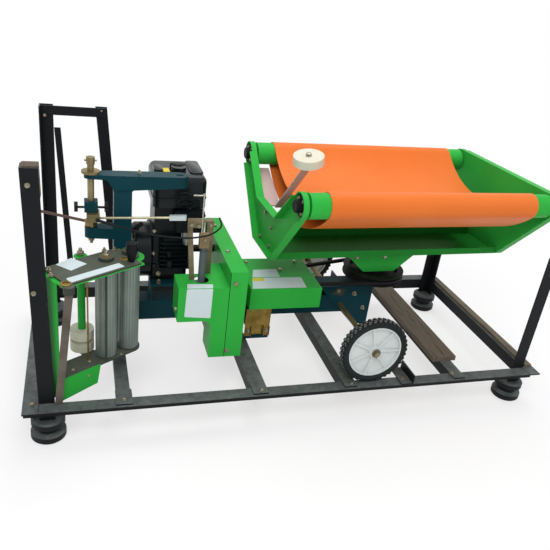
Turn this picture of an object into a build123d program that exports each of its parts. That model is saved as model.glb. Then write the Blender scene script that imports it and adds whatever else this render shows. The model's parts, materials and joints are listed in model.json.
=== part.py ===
from build123d import *
from math import acos, atan2, cos, degrees, hypot, radians, sin, sqrt
import os

os.makedirs("parts", exist_ok=True)

# All sizes are millimetres. X runs along the skid, Y across it to the far rail, Z up.
# The origin lies on the floor, under the middle of the skid.

# Transport skid of angle iron
skid_length = 1980
skid_width = 900
angle_leg = 50
angle_wall = 5
rail_top = 150
left_post_height = 795
right_post_height = 500
post_lean = 16
tab_length = 55
tab_thickness = 5
tab_reach = 40
tab_overlap = 40

# Spool feet
foot_diameter = 115
foot_upper_diameter = 110
foot_neck_diameter = 72
foot_disc = 32
foot_neck = 18
foot_round = 6

# Cross bars: place of the left edge, width, depth of the down flange, lies on top of the rails
bar_a_left = -693
bar_a_width = 46
bar_b_left = -227
bar_b_width = 60
bar_c_left = 126
bar_e_left = 590
bar_flange = 40
bar_table = [
    {"left": bar_a_left, "width": bar_a_width, "on_top": False},
    {"left": bar_b_left, "width": bar_b_width, "on_top": False},
    {"left": bar_c_left, "width": angle_leg, "on_top": True},
    {"left": bar_e_left, "width": angle_leg, "on_top": True},
]

# Wheel chocks on the long rails
chock_left = 355
chock_length = 105
chock_height = 38

# Flat braces and timber of the skid
slat_width = 24
slat_thickness = 6
slat_foot_x = -832
slat_lean = 45
slat_height = 706
brace_width = 44
brace_foot_x = -646
brace_lean = 67
top_bar_height = 35
top_bar_drop = 5
board_left = 557
board_width = 103
board_thickness = 20
board_start = -325
board_end = 435
batten_width = 30
batten_thickness = 12
batten_inset = 10
stub_length = 95
stub_rise = 4

# Transport wheels and their axle
wheel_radius = 131
wheel_width = 45
wheel_x = 234
wheel_track = 795
rim_radius = 104
hub_radius = 24
hub_bore_radius = 10.5
axle_radius = 10
rest_gap = 0.3
tyre_shoulder = 9
rim_web = 9
rim_lip = 5
rim_lip_width = 32
rim_rib_count = 7
rim_rib_width = 7
rim_rib_depth = 8
hub_length = 40
axle_end = 14
axle_cap_radius = 14
axle_cap_length = 5
wheel_z = rail_top + rest_gap + wheel_radius

# Main beam, column and arm
beam_size = 80
beam_wall = 5
beam_bottom = 240
beam_left = -690
beam_right = 262
column_size = 60
column_wall = 4
column_x = -660
column_foot_size = 76
column_foot_thickness = 8
arm_top = 830
arm_depth = 50
arm_wall = 5
arm_right = -438
arm_nose_radius = 22
arm_nose_depth = 16
arm_end_depth = 34
arm_slot_length = 26
arm_slot_width = 12
shaft_x = -763.5
column_y = -(beam_size + column_size) / 2
beam_top = beam_bottom + beam_size

# Shaft of the film cutter and what it carries
shaft_radius = 11
shaft_bottom = 596
shaft_rise = 54
shaft_top = arm_top + shaft_rise
collar_radius = 30
collar_thickness = 8
cap_radius = 14
cap_length = 24
cross_pin_radius = 3
cross_pin_length = 40
low_bracket_bottom = 602
low_bracket_height = 38
cutter_block_size = 30
cutter_block_height = 26
cutter_rod_angle = 30
cutter_gap = 1
cutter_bore_gap = 0.3
cutter_rod_radius = 5
cutter_rod_length = 178
link_block_size = 30
link_block_height = 28
clamp_length = 44
clamp_width = 44
clamp_height = 36
knob_stem_radius = 4
knob_radius = 15
knob_thickness = 12
knob_lobe_radius = 6
knob_left_x = -818
knob_right_x = -708

# Film unit: a frame turned to the skid, with p along it and q across it
film_x = -872
film_y = -395
film_angle = 32
film_bottom_z = 228
film_bottom_thickness = 7
film_top_z = 592
film_top_thickness = 6
film_sheet_thickness = 4
film_start = 12
film_end = 332
film_front = -42
film_back = 98
film_low_width = 82
film_roller_q = 41
film_roller_p = 203
film_roller_pitch = 91
film_roller_radius = 36
film_roller_clear = 4
film_flute_count = 24
film_flute_radius = 1.6
film_shaft_radius = 8
film_bearing_radius = 24
film_bearing_height = 12
film_low_sheet_length = 150
film_low_sheet_drop = 76
film_lip = 12
reel_p = 160
reel_q = 122
reel_rod_radius = 13
reel_cone_radius = 40
reel_cone_height = 34
reel_cone_groove = 12
reel_tab_width = 44
film_pin_radius = 4
film_pin_p = 178
film_pin_q = 4
grip_p = 262
grip_q = -14
grip_radius = 18
grip_foot_radius = 10
grip_height = 66
strut_width = 24
strut_thickness = 6
boss_radius = 17
boss_height = 14

# Covers of folded sheet
sheet = 2
gear_left = -480
gear_right = -299
gear_front = -250
gear_back = -50
gear_top = 480
gear_bottom = 347
gear_leg_left = -357
gear_notch_right = -345
gear_notch_front = -135
gear_hole_radius = 27
guard_width = 64
guard_front = -250
guard_back = 262
guard_top = 540
guard_foot = 190
guard_rise = 336
belt_cover_left = -185
belt_cover_right = 104
belt_cover_front = -135
belt_cover_bottom = beam_top + rest_gap
belt_cover_height = 88
cover_corner = 4
guard_left = gear_right
guard_right = guard_left + guard_width

# Gearbox and actuator
gearbox_left = -405
gearbox_right = -305
gearbox_front = -200
gearbox_top = 400
damper_x = -390
damper_y = -182
damper_radius = 13
damper_top = 594
damper_lug_radius = 9
clevis_width = 34
clevis_depth = 22
clevis_height = 52
lever_left = -450
lever_right = -392
lever_bottom = 680
lever_height = 34
lever_thickness = 5
lean_width = 18
lean_foot_x = -424
lean_foot_z = 481
tube_size = 24
tube_x = -360
tube_y = -120
tube_top = 662
wire_radius = 3
wire_top = 812
wire_reach = 38
link_radius = 4
link_start = (-744, -98, 680)
link_end = (-512, -180, 716)
fork_length = 56
fork_size = 16
fork_slot = 6
cable_radius = 3
adjuster_radius = 5
adjuster_length = 52
cable_route = [
    (-700, -132, 671),
    (-630, -156, 658),
    (-540, -196, 654),
    (-440, -226, 660),
    (-372, -222, 672),
    (-331, -190, 690),
    (-334, -148, 703),
]

# Engine
engine_left = -552
engine_right = -412
engine_front = 0
engine_back = 168
engine_bottom = 390
engine_case_top = 570
engine_shroud_inset = 12
tank_left = -550
tank_right = -358
tank_front = -24
tank_back = 188
tank_bottom = 690
tank_top = 808
tank_round = 26
tank_cap_radius = 27
tank_cap_height = 14
starter_radius = 104
starter_depth = 62
starter_y = 62
starter_z = 492
starter_round = 14
fin_count = 7
fin_pitch = 17
fin_thickness = 4
fin_left = -520
fin_right = -404
fin_front = -38
fin_bottom = 452
fin_core_inset = 12
output_radius = 14
muffler_left = -404
muffler_right = -344
muffler_front = 92
muffler_bottom = 570
muffler_top = 666
cleaner_left = -470
cleaner_right = -366
cleaner_front = -62
cleaner_back = -8
cleaner_bottom = 610
cleaner_top = 684
mount_thickness = 10
mount_leg = 8
mount_front = -beam_size / 2
mount_back = 176

# Bracket of zinc plate in front of the beam
hitch_left = -190
hitch_right = -90
hitch_reach = 84
hitch_plate = 4
hitch_height = 78
hitch_foot = 46
hitch_angle_width = 24

# Pedestal and turntable
table_x = 380
table_offset = 13.5
table_angle = 2.1
pedestal_left = 140
pedestal_top = 364
pedestal_plate = 8
pedestal_bottom = 180
pedestal_narrow = 306
pedestal_right = 372
pedestal_nose = 45
pedestal_width = 2 * (beam_size / 2 + pedestal_plate)
spindle_radius = 18
spindle_gap = 0.5
spindle_top = 468
pulley_radius = 127
pulley_rim = 36
pulley_bottom = 396
pulley_web = 8
pulley_groove_depth = 13
pulley_groove_wall = 5
pulley_groove_gap = 1.2
pulley_hub_radius = 42
belt_section = 13
belt_gap = 0.3
belt_low_z = 380
drive_pulley_x = -120
drive_pulley_radius = 45
drive_pulley_flange = 56
drive_pulley_side = 3
drive_pulley_gap = 2.5
drive_shaft_boss = 20
bracket_bottom_half = 72
bracket_top_half = 178
bracket_width = 100
bracket_plate = 5

# Wrapping table
roller_z = 817
roller_pitch = 605
roller_length = 975
roller_radius = 44.5
roller_wall = 4
stub_radius = 10
stub_reach = 42
plate_gap = 10
plate_thickness = 4
plate_flange = 31
ear_radius = 48
ear_flange = 20
plate_half = 106
plate_bottom = 528
notch_half = 108
notch_bottom = 699
trough_lip = 27
trough_thickness = 3
bearing_radius = 38
bearing_boss_radius = 22
bearing_flange = 10
bearing_height = 30
band_margin = 69.5
band_thickness = 3
band_gap = 0.3
band_top_sag = 740
band_low_sag = 652
arm_rear_width = 66
arm_bar_width = 28
arm_bar_thickness = 6
arm_inset = 44
arm_foot_v = 95
arm_foot_z = 664
arm_tip_v = -150
arm_tip_z = 910
arm_rear_v = 284
arm_rear_z = 757
guide_radius = 54
guide_width = 30
guide_bore_radius = 6
guide_pin_radius = 5.5
guide_pin_rise = 8
guide_washer_radius = 12
guide_washer = 6
guide_lean_out = 10
guide_lean_front = 9


def level(height):
    """Level plane at a height."""
    return Plane.XY.offset(height)


def front_plane(y):
    """Upright plane along the skid, its normal towards the near rail."""
    return Plane(origin=(0, y, 0), x_dir=(1, 0, 0), z_dir=(0, -1, 0))


def side_plane(x):
    """Upright plane across the skid, its normal towards +X."""
    return Plane(origin=(x, 0, 0), x_dir=(0, 1, 0), z_dir=(1, 0, 0))


def box_between(x_low, x_high, y_low, y_high):
    """Rectangle between four sides, in the sketch at hand."""
    with Locations(((x_low + x_high) / 2, (y_low + y_high) / 2)):
        Rectangle(x_high - x_low, y_high - y_low)


def save(piece, name):
    """Label a finished piece and write it."""
    piece.part.label = name
    export_step(piece.part, f"parts/{name}.step")


# Long rails of the skid, each an angle with its upright leg inside
rail_inner = skid_width / 2 - angle_leg
with BuildPart() as rails_long:
    with BuildSketch(side_plane(-skid_length / 2)):
        Polygon(
            (-skid_width / 2, rail_top),
            (-rail_inner, rail_top),
            (-rail_inner, rail_top - angle_leg),
            (-rail_inner - angle_wall, rail_top - angle_leg),
            (-rail_inner - angle_wall, rail_top - angle_wall),
            (-skid_width / 2, rail_top - angle_wall),
            align=None,
        )
    extrude(amount=skid_length)
    mirror(about=Plane.XZ)
save(rails_long, "skid_rails_long")

# End rails between them
end_inner = skid_length / 2 - angle_leg
with BuildPart() as rails_end:
    with BuildSketch(front_plane(rail_inner)):
        Polygon(
            (-skid_length / 2, rail_top),
            (-end_inner, rail_top),
            (-end_inner, rail_top - angle_leg),
            (-end_inner - angle_wall, rail_top - angle_leg),
            (-end_inner - angle_wall, rail_top - angle_wall),
            (-skid_length / 2, rail_top - angle_wall),
            align=None,
        )
    extrude(amount=2 * rail_inner)
    mirror(about=Plane.YZ)
save(rails_end, "skid_rails_end")

# Cross bars: two between the rails with bolted tabs, two lying on the rails
with BuildPart() as cross_bars:
    for bar in bar_table:
        left = bar["left"]
        right = left + bar["width"]
        lift = angle_wall if bar["on_top"] else 0
        reach = skid_width / 2 - tab_reach / 4 if bar["on_top"] else rail_inner
        with BuildSketch(level(rail_top - angle_wall + lift)):
            box_between(left, right, -reach, reach)
        extrude(amount=angle_wall)
        with BuildSketch(level(rail_top - bar_flange)):
            box_between(left, left + angle_wall, -rail_inner, rail_inner)
        extrude(amount=bar_flange - angle_wall + lift)
        if not bar["on_top"]:
            middle = (left + right) / 2
            with BuildSketch(level(rail_top)):
                for side in (-1, 1):
                    with Locations((middle, side * (rail_inner + (tab_reach - tab_overlap) / 2))):
                        Rectangle(tab_length, tab_reach + tab_overlap)
            extrude(amount=tab_thickness)
save(cross_bars, "skid_cross_bars")

# Chocks that stop the wheels from rolling along the rails
with BuildPart() as chocks:
    with BuildSketch(front_plane(-skid_width / 2 + chock_length)):
        Polygon(
            (chock_left, rail_top),
            (chock_left + angle_leg, rail_top),
            (chock_left + angle_leg, rail_top + chock_height),
            (chock_left + angle_leg - angle_wall, rail_top + chock_height),
            (chock_left + angle_leg - angle_wall, rail_top + angle_wall),
            (chock_left, rail_top + angle_wall),
            align=None,
        )
    extrude(amount=chock_length)
    mirror(about=Plane.XZ)
save(chocks, "skid_chocks")

# Feet: spools of two discs under the posts
foot_height = 2 * foot_disc + foot_neck
foot_x = end_inner - angle_leg / 2
foot_y = rail_inner - angle_leg / 2
with BuildPart() as foot:
    with BuildSketch(Plane.XZ):
        Polygon(
            (0, 0),
            (foot_diameter / 2 - foot_round, 0),
            (foot_diameter / 2, foot_round),
            (foot_diameter / 2, foot_disc - foot_round),
            (foot_neck_diameter / 2, foot_disc),
            (foot_neck_diameter / 2, foot_disc + foot_neck),
            (foot_upper_diameter / 2, foot_disc + foot_neck + foot_round),
            (foot_upper_diameter / 2, foot_height - foot_round),
            (foot_upper_diameter / 2 - foot_round, foot_height),
            (0, foot_height),
            align=None,
        )
    revolve(axis=Axis.Z)
with BuildPart() as feet:
    with Locations(*[(sx * foot_x, sy * foot_y, 0) for sx in (-1, 1) for sy in (-1, 1)]):
        add(foot.part)
save(feet, "skid_feet")


# Corner posts of angle, tall at the left end and cut lower at the right
post_table = [
    {"end": -1, "row": -1, "height": left_post_height, "lean": post_lean},
    {"end": -1, "row": 1, "height": left_post_height, "lean": 0},
    {"end": 1, "row": -1, "height": right_post_height, "lean": 0},
    {"end": 1, "row": 1, "height": right_post_height, "lean": 0},
]
with BuildPart() as posts:
    for post in post_table:
        end = post["end"]
        row = post["row"]
        with BuildSketch(level(foot_height)) as post_section:
            Polygon(
                (end * end_inner, row * rail_inner),
                (end * (end_inner - angle_leg), row * rail_inner),
                (end * (end_inner - angle_leg), row * (rail_inner - angle_wall)),
                (end * (end_inner - angle_wall), row * (rail_inner - angle_wall)),
                (end * (end_inner - angle_wall), row * (rail_inner - angle_leg)),
                (end * end_inner, row * (rail_inner - angle_leg)),
                align=None,
            )
        extrude(amount=rail_top - foot_height)
        with BuildSketch(level(rail_top)):
            add(post_section.sketch_local)
        post_way = Vector(-post["lean"], 0, post["height"])
        extrude(amount=post_way.length, dir=post_way)
save(posts, "skid_posts")

# Stub of timber bolted into the near left post, leaning with it
stub_start = left_post_height + stub_rise - stub_length
stub_shift = post_lean * stub_start / left_post_height
with BuildPart() as wood_stub:
    with BuildSketch(level(rail_top + stub_start)):
        box_between(
            -end_inner + angle_wall - stub_shift,
            -end_inner + angle_leg - stub_shift,
            -rail_inner + angle_wall,
            -rail_inner + angle_leg,
        )
    stub_way = Vector(-post_lean * stub_length / left_post_height, 0, stub_length)
    extrude(amount=stub_way.length, dir=stub_way)
save(wood_stub, "skid_wood_stub")


def leaning_bar(foot_x, foot_z, lean, width, thickness, height, back_y):
    """Flat bar that leans to the left as it rises, with level ends."""
    with BuildPart() as bar:
        with BuildSketch(front_plane(back_y)):
            Polygon(
                (foot_x - width / 2, foot_z),
                (foot_x + width / 2, foot_z),
                (foot_x - lean + width / 2, rail_top + height),
                (foot_x - lean - width / 2, rail_top + height),
                align=None,
            )
        extrude(amount=thickness)
    return bar


# Leaning braces of flat bar, and the bar between the wide one and its post
with BuildPart() as braces:
    add(
        leaning_bar(
            slat_foot_x,
            rail_top - angle_leg,
            slat_lean,
            slat_width,
            slat_thickness,
            slat_height,
            rail_inner,
        ).part
    )
    add(
        leaning_bar(
            brace_foot_x,
            rail_top + tab_thickness,
            brace_lean,
            brace_width,
            angle_wall,
            left_post_height,
            rail_inner,
        ).part
    )
    bar_top = rail_top + left_post_height - top_bar_drop
    with BuildSketch(front_plane(rail_inner - angle_wall)):
        box_between(
            -end_inner + angle_wall,
            brace_foot_x - brace_lean + brace_width / 2,
            bar_top - top_bar_height,
            bar_top,
        )
    extrude(amount=angle_wall)
save(braces, "skid_braces")

# Board and batten that lie on the right half of the skid
with BuildPart() as board:
    with BuildSketch(level(rail_top + angle_wall)):
        box_between(board_left, board_left + board_width, board_start, board_end)
    extrude(amount=board_thickness)
save(board, "skid_board")
with BuildPart() as batten:
    with BuildSketch(level(rail_top)):
        box_between(
            skid_length / 2 - batten_inset - batten_width,
            skid_length / 2 - batten_inset,
            -rail_inner,
            rail_inner,
        )
    extrude(amount=batten_thickness)
save(batten, "skid_batten")

# Main beam, square tube with the axle through it
with BuildPart() as beam:
    with BuildSketch(side_plane(beam_left)):
        with Locations((0, beam_bottom + beam_size / 2)):
            Rectangle(beam_size, beam_size)
            Rectangle(beam_size - 2 * beam_wall, beam_size - 2 * beam_wall, mode=Mode.SUBTRACT)
    extrude(amount=beam_right - beam_left)
    with BuildSketch(front_plane(beam_size)):
        with Locations((wheel_x, wheel_z)):
            Circle(axle_radius)
    extrude(amount=2 * beam_size, mode=Mode.SUBTRACT)
save(beam, "main_beam")

# Column beside the left end of the beam, with the bracket for the foot of the shaft
column_top = arm_top - arm_depth
with BuildPart() as column:
    with BuildSketch(level(rail_top)):
        with Locations((column_x, column_y)):
            Rectangle(column_size, column_size)
            Rectangle(
                column_size - 2 * column_wall, column_size - 2 * column_wall, mode=Mode.SUBTRACT
            )
    extrude(amount=column_top - rail_top)
    with BuildSketch(level(rail_top)):
        with Locations((column_x, column_y)):
            Rectangle(column_size, column_foot_size)
    extrude(amount=column_foot_thickness)
    with BuildSketch(level(low_bracket_bottom)):
        with BuildLine():
            Polyline(
                (shaft_x, column_y - arm_nose_radius),
                (column_x - column_size / 2, column_y - column_size / 2),
                (column_x - column_size / 2, column_y + column_size / 2),
                (shaft_x, column_y + arm_nose_radius),
            )
            ThreePointArc(
                (shaft_x, column_y + arm_nose_radius),
                (shaft_x - arm_nose_radius, column_y),
                (shaft_x, column_y - arm_nose_radius),
            )
        make_face()
        with Locations((shaft_x, column_y)):
            Circle(shaft_radius, mode=Mode.SUBTRACT)
    extrude(amount=low_bracket_height)
save(column, "column")

# Arm: a channel over the column, with a nose for the shaft and a slotted end
with BuildPart() as arm:
    with BuildSketch(level(arm_top - arm_depth)) as arm_outline:
        with BuildLine():
            nose_high = (shaft_x, column_y + arm_nose_radius)
            nose_low = (shaft_x, column_y - arm_nose_radius)
            Polyline(
                nose_low,
                (column_x - column_size / 2, column_y - column_size / 2),
                (arm_right - column_size / 2, column_y - column_size / 2),
            )
            ThreePointArc(
                (arm_right - column_size / 2, column_y - column_size / 2),
                (arm_right, column_y),
                (arm_right - column_size / 2, column_y + column_size / 2),
            )
            Polyline(
                (arm_right - column_size / 2, column_y + column_size / 2),
                (column_x - column_size / 2, column_y + column_size / 2),
                nose_high,
            )
            ThreePointArc(nose_high, (shaft_x - arm_nose_radius, column_y), nose_low)
        make_face()
    extrude(amount=arm_depth)
    with BuildSketch(level(arm_top - arm_depth)):
        offset(arm_outline.sketch_local, amount=-arm_wall)
    extrude(amount=arm_depth - arm_wall, mode=Mode.SUBTRACT)
    with BuildSketch(front_plane(0)):
        Polygon(
            (shaft_x - column_size, arm_top - arm_depth),
            (column_x - column_size / 2, arm_top - arm_depth),
            (column_x - column_size / 2 - arm_nose_radius, arm_top - arm_nose_depth),
            (shaft_x - column_size, arm_top - arm_nose_depth),
            align=None,
        )
        Polygon(
            (column_x + column_size / 2, arm_top - arm_depth),
            (arm_right + column_size, arm_top - arm_depth),
            (arm_right + column_size, arm_top - arm_end_depth),
            align=None,
        )
    extrude(amount=skid_width, mode=Mode.SUBTRACT)
    with BuildSketch(level(arm_top - arm_depth)):
        with Locations((shaft_x, column_y)):
            Circle(shaft_radius)
        with Locations((arm_right - column_size / 2, column_y)):
            SlotOverall(arm_slot_length, arm_slot_width)
    extrude(amount=arm_depth, mode=Mode.SUBTRACT)
save(arm, "column_arm")

# Shaft with its collar, cap and the fixed block that holds the link rod
cutter_bottom = low_bracket_bottom + low_bracket_height + cutter_gap
link_block_bottom = cutter_bottom + cutter_block_height + cutter_gap
link_block_top = link_block_bottom + link_block_height
link_way = Vector(*link_end) - Vector(*link_start)
with BuildPart() as shaft:
    with BuildSketch(level(shaft_bottom)):
        with Locations((shaft_x, column_y)):
            Circle(shaft_radius)
    extrude(amount=shaft_top - shaft_bottom)
    with BuildSketch(level(arm_top)):
        with Locations((shaft_x, column_y)):
            Circle(collar_radius)
    extrude(amount=collar_thickness)
    with BuildSketch(level(shaft_top - cap_length)):
        with Locations((shaft_x, column_y)):
            Circle(cap_radius)
    extrude(amount=cap_length)
    with BuildSketch(side_plane(shaft_x - cross_pin_length / 2)):
        with Locations((column_y, shaft_top - cap_length / 2)):
            Circle(cross_pin_radius)
    extrude(amount=cross_pin_length)
    with BuildSketch(level(link_block_bottom)):
        box_between(
            shaft_x - link_block_size / 2,
            link_start[0] + 2 * link_radius,
            link_start[1] - 3 * link_radius,
            column_y + link_block_size / 2,
        )
    extrude(amount=link_block_height)
    with BuildSketch(Plane(origin=link_start, z_dir=link_way)):
        Circle(link_radius + rest_gap)
    extrude(amount=link_block_size, mode=Mode.SUBTRACT)
save(shaft, "cutter_shaft")

# Cutter arm: a zinc block that turns on the shaft, with a rod that points back to the left
rod_way = Vector(-cos(radians(cutter_rod_angle)), sin(radians(cutter_rod_angle)), 0)
with BuildPart() as cutter:
    with BuildSketch(level(cutter_bottom)):
        with Locations((shaft_x, column_y)):
            Rectangle(cutter_block_size, cutter_block_size, rotation=-cutter_rod_angle)
    extrude(amount=cutter_block_height)
    rod_root = (shaft_x, column_y, cutter_bottom + cutter_block_height / 2)
    with BuildSketch(Plane(origin=rod_root, z_dir=rod_way)):
        Circle(cutter_rod_radius)
    extrude(amount=cutter_block_size / 2 + cutter_rod_length)
    with BuildSketch(level(cutter_bottom)):
        with Locations((shaft_x, column_y)):
            Circle(shaft_radius + cutter_bore_gap)
    extrude(amount=cutter_block_height, mode=Mode.SUBTRACT)
save(cutter, "cutter_arm")

# Clamp above it, with two star knobs
clamp_bottom = link_block_top + cutter_gap
clamp_rod_z = clamp_bottom + clamp_height / 2
knob_y = column_y - shaft_radius - 1.5 * knob_stem_radius
with BuildPart() as clamp:
    with BuildSketch(level(clamp_bottom)):
        with Locations((shaft_x, column_y)):
            Rectangle(clamp_length, clamp_width)
            Circle(shaft_radius, mode=Mode.SUBTRACT)
    extrude(amount=clamp_height)
    with BuildSketch(side_plane(knob_left_x)):
        with Locations((knob_y, clamp_rod_z)):
            Circle(knob_stem_radius)
    extrude(amount=knob_right_x - knob_left_x)
    for knob_x in (knob_left_x, knob_right_x - knob_thickness):
        with BuildSketch(side_plane(knob_x)):
            with Locations((knob_y, clamp_rod_z)):
                Circle(knob_radius - knob_lobe_radius / 2)
                with PolarLocations(knob_radius - knob_lobe_radius / 2, 5):
                    Circle(knob_lobe_radius)
        extrude(amount=knob_thickness)
save(clamp, "shaft_clamp")

# Film unit in its own turned frame
film_cos = cos(radians(film_angle))
film_sin = sin(radians(film_angle))


def film_level(height):
    """Level plane of the film unit, with p along it and q across it."""
    return Plane(origin=(film_x, film_y, height), x_dir=(film_cos, film_sin, 0), z_dir=(0, 0, 1))


def film_front_plane(q):
    """Upright plane along the film unit, its normal towards the front."""
    return Plane(
        origin=(film_x - q * film_sin, film_y + q * film_cos, 0),
        x_dir=(film_cos, film_sin, 0),
        z_dir=(film_sin, -film_cos, 0),
    )


def film_side_plane(p):
    """Upright plane across the film unit, its normal along it."""
    return Plane(
        origin=(film_x + p * film_cos, film_y + p * film_sin, 0),
        x_dir=(-film_sin, film_cos, 0),
        z_dir=(film_cos, film_sin, 0),
    )


film_roller_places = [film_roller_p, film_roller_p + film_roller_pitch]
film_inner_bottom = film_bottom_z + film_bottom_thickness
film_inner_top = film_top_z - film_sheet_thickness
film_width_round = film_low_width / 2

with BuildPart() as film_bottom:
    with BuildSketch(film_level(film_bottom_z)):
        box_between(0, film_roller_places[1], film_roller_q - film_width_round,
                    film_roller_q + film_width_round)
        with Locations((film_roller_places[1], film_roller_q)):
            Circle(film_width_round)
        box_between(reel_p - reel_tab_width / 2, reel_p + reel_tab_width / 2, film_roller_q, reel_q)
        with Locations((reel_p, reel_q)):
            Circle(reel_tab_width / 2)
        with Locations(*[(p, film_roller_q) for p in film_roller_places]):
            Circle(film_shaft_radius + belt_gap, mode=Mode.SUBTRACT)
        with Locations((reel_p, reel_q)):
            Circle(film_shaft_radius + belt_gap, mode=Mode.SUBTRACT)
    extrude(amount=film_bottom_thickness)
save(film_bottom, "film_bottom_plate")

with BuildPart() as film_sheet_part:
    with BuildSketch(film_level(film_inner_top)):
        box_between(0, film_roller_places[1], film_front, film_back)
        with Locations((film_roller_places[1], film_roller_q - film_width_round / 3)):
            Circle(film_width_round)
        with Locations((reel_p, reel_q)):
            Circle(reel_tab_width / 2)
        with Locations(*[(p, film_roller_q) for p in film_roller_places]):
            Circle(film_shaft_radius + belt_gap, mode=Mode.SUBTRACT)
        with Locations((reel_p, reel_q)):
            Circle(film_shaft_radius + belt_gap, mode=Mode.SUBTRACT)
        with Locations((film_start, film_front - boss_radius / 2)):
            Circle(boss_radius + belt_gap, mode=Mode.SUBTRACT)
    extrude(amount=film_sheet_thickness)
    with BuildSketch(film_side_plane(0)):
        Polygon(
            (-film_sheet_thickness, film_inner_top + film_sheet_thickness),
            (film_back, film_inner_top + film_sheet_thickness),
            (film_width_round, film_bottom_z - film_low_sheet_drop),
            (-film_sheet_thickness, film_bottom_z - film_low_sheet_drop),
            align=None,
        )
    extrude(amount=-film_sheet_thickness)
    with BuildSketch(film_front_plane(0)):
        Polygon(
            (-film_sheet_thickness, film_bottom_z - film_low_sheet_drop),
            (film_low_sheet_length - film_lip, film_bottom_z - film_low_sheet_drop + film_lip),
            (film_low_sheet_length, film_bottom_z),
            (film_low_sheet_length, film_inner_bottom),
            (-film_sheet_thickness, film_inner_bottom),
            align=None,
        )
    extrude(amount=film_sheet_thickness)
save(film_sheet_part, "film_green_sheet")

with BuildPart() as film_top:
    with BuildSketch(film_level(film_top_z)):
        box_between(film_start, film_roller_places[1] - film_lip, film_front, film_back)
        with Locations((film_roller_places[1] - film_lip, film_roller_q)):
            Circle(film_width_round)
        with Locations(*[(p, film_roller_q) for p in film_roller_places]):
            Circle(film_shaft_radius + belt_gap, mode=Mode.SUBTRACT)
    extrude(amount=film_top_thickness)
    with BuildSketch(film_level(film_top_z + film_top_thickness)):
        with Locations(*[(p, film_roller_q) for p in film_roller_places]):
            Circle(film_bearing_radius)
            Circle(film_shaft_radius + belt_gap, mode=Mode.SUBTRACT)
    extrude(amount=film_bearing_height)
    with BuildSketch(film_level(film_inner_bottom)):
        with Locations((film_pin_p, film_pin_q)):
            Circle(film_pin_radius)
    extrude(amount=film_inner_top - film_inner_bottom)
    with BuildSketch(film_level(film_inner_top - boss_height)):
        with Locations((film_start, film_front - boss_radius / 2)):
            Circle(boss_radius)
    extrude(amount=film_top_z + film_top_thickness - film_inner_top + boss_height)
save(film_top, "film_top_plate")

# Grip that stands on the top plate
with BuildPart() as grip:
    with BuildSketch(film_level(film_top_z + film_top_thickness)):
        with Locations((grip_p, grip_q)):
            Circle(grip_foot_radius)
    with BuildSketch(film_level(film_top_z + film_top_thickness + grip_height / 2)):
        with Locations((grip_p, grip_q)):
            Circle(grip_radius)
    loft()
    with BuildSketch(film_level(film_top_z + film_top_thickness + grip_height / 2)):
        with Locations((grip_p, grip_q)):
            Circle(grip_radius)
    extrude(amount=grip_height / 2)
save(grip, "film_grip")

# Strut from the top plate down to the near rail
strut_top_z = film_inner_top - boss_height
boss_world = film_level(0).from_local_coords(
    (film_start, film_front - boss_radius / 2, 0)
)
strut_foot_x = -end_inner + angle_leg + strut_width / 2 + rest_gap
with BuildPart() as strut:
    strut_foot = Vector(strut_foot_x, -rail_inner - strut_thickness, rail_top)
    strut_head = Vector(boss_world.X, boss_world.Y, strut_top_z)
    strut_run = strut_head - strut_foot
    strut_side = Vector(1, 0, 0)
    strut_plane = Plane(origin=strut_foot, x_dir=strut_side, z_dir=strut_run)
    with BuildSketch(strut_plane):
        Rectangle(strut_width, strut_thickness)
    extrude(amount=strut_run.length)
    split(bisect_by=level(rail_top), keep=Keep.TOP)
    split(bisect_by=level(strut_top_z), keep=Keep.BOTTOM)
save(strut, "film_strut")


def film_roller(p):
    """Fluted aluminium roller between the plates, with its shaft."""
    with BuildPart() as roller:
        with BuildSketch(film_level(film_inner_bottom + film_roller_clear)):
            with Locations((p, film_roller_q)):
                Circle(film_roller_radius)
                with PolarLocations(film_roller_radius, film_flute_count):
                    Circle(film_flute_radius, mode=Mode.SUBTRACT)
        extrude(amount=film_inner_top - film_inner_bottom - 2 * film_roller_clear)
        with BuildSketch(film_level(film_bottom_z)):
            with Locations((p, film_roller_q)):
                Circle(film_shaft_radius)
        extrude(amount=film_top_z + film_top_thickness + film_bearing_height - film_bottom_z)
    return roller


save(film_roller(film_roller_places[0]), "film_roller_a")
save(film_roller(film_roller_places[1]), "film_roller_b")

# Reel: a rod with two cones at its foot that centre the film roll
with BuildPart() as reel:
    with BuildSketch(film_level(film_bottom_z)):
        with Locations((reel_p, reel_q)):
            Circle(film_shaft_radius)
    extrude(amount=film_top_z - film_bottom_z + film_top_thickness)
    with BuildSketch(film_level(film_inner_bottom + rest_gap)):
        with Locations((reel_p, reel_q)):
            Circle(reel_rod_radius)
    extrude(amount=film_inner_top - film_inner_bottom - 2 * rest_gap)
save(reel, "film_reel_rod")
with BuildPart() as cones:
    with BuildSketch(film_level(film_inner_bottom + rest_gap)):
        with Locations((reel_p, reel_q)):
            Circle(reel_cone_radius)
            Circle(reel_rod_radius, mode=Mode.SUBTRACT)
    extrude(amount=reel_cone_height)
    with BuildSketch(film_level(film_inner_bottom + rest_gap + reel_cone_height)):
        with Locations((reel_p, reel_q)):
            Circle(reel_cone_radius - reel_cone_groove)
            Circle(reel_rod_radius, mode=Mode.SUBTRACT)
    extrude(amount=reel_cone_groove)
    with BuildSketch(
        film_level(film_inner_bottom + rest_gap + reel_cone_height + reel_cone_groove)
    ):
        with Locations((reel_p, reel_q)):
            Circle(reel_cone_radius)
            Circle(reel_rod_radius, mode=Mode.SUBTRACT)
    extrude(amount=reel_cone_height)
save(cones, "film_reel_cones")

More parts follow.
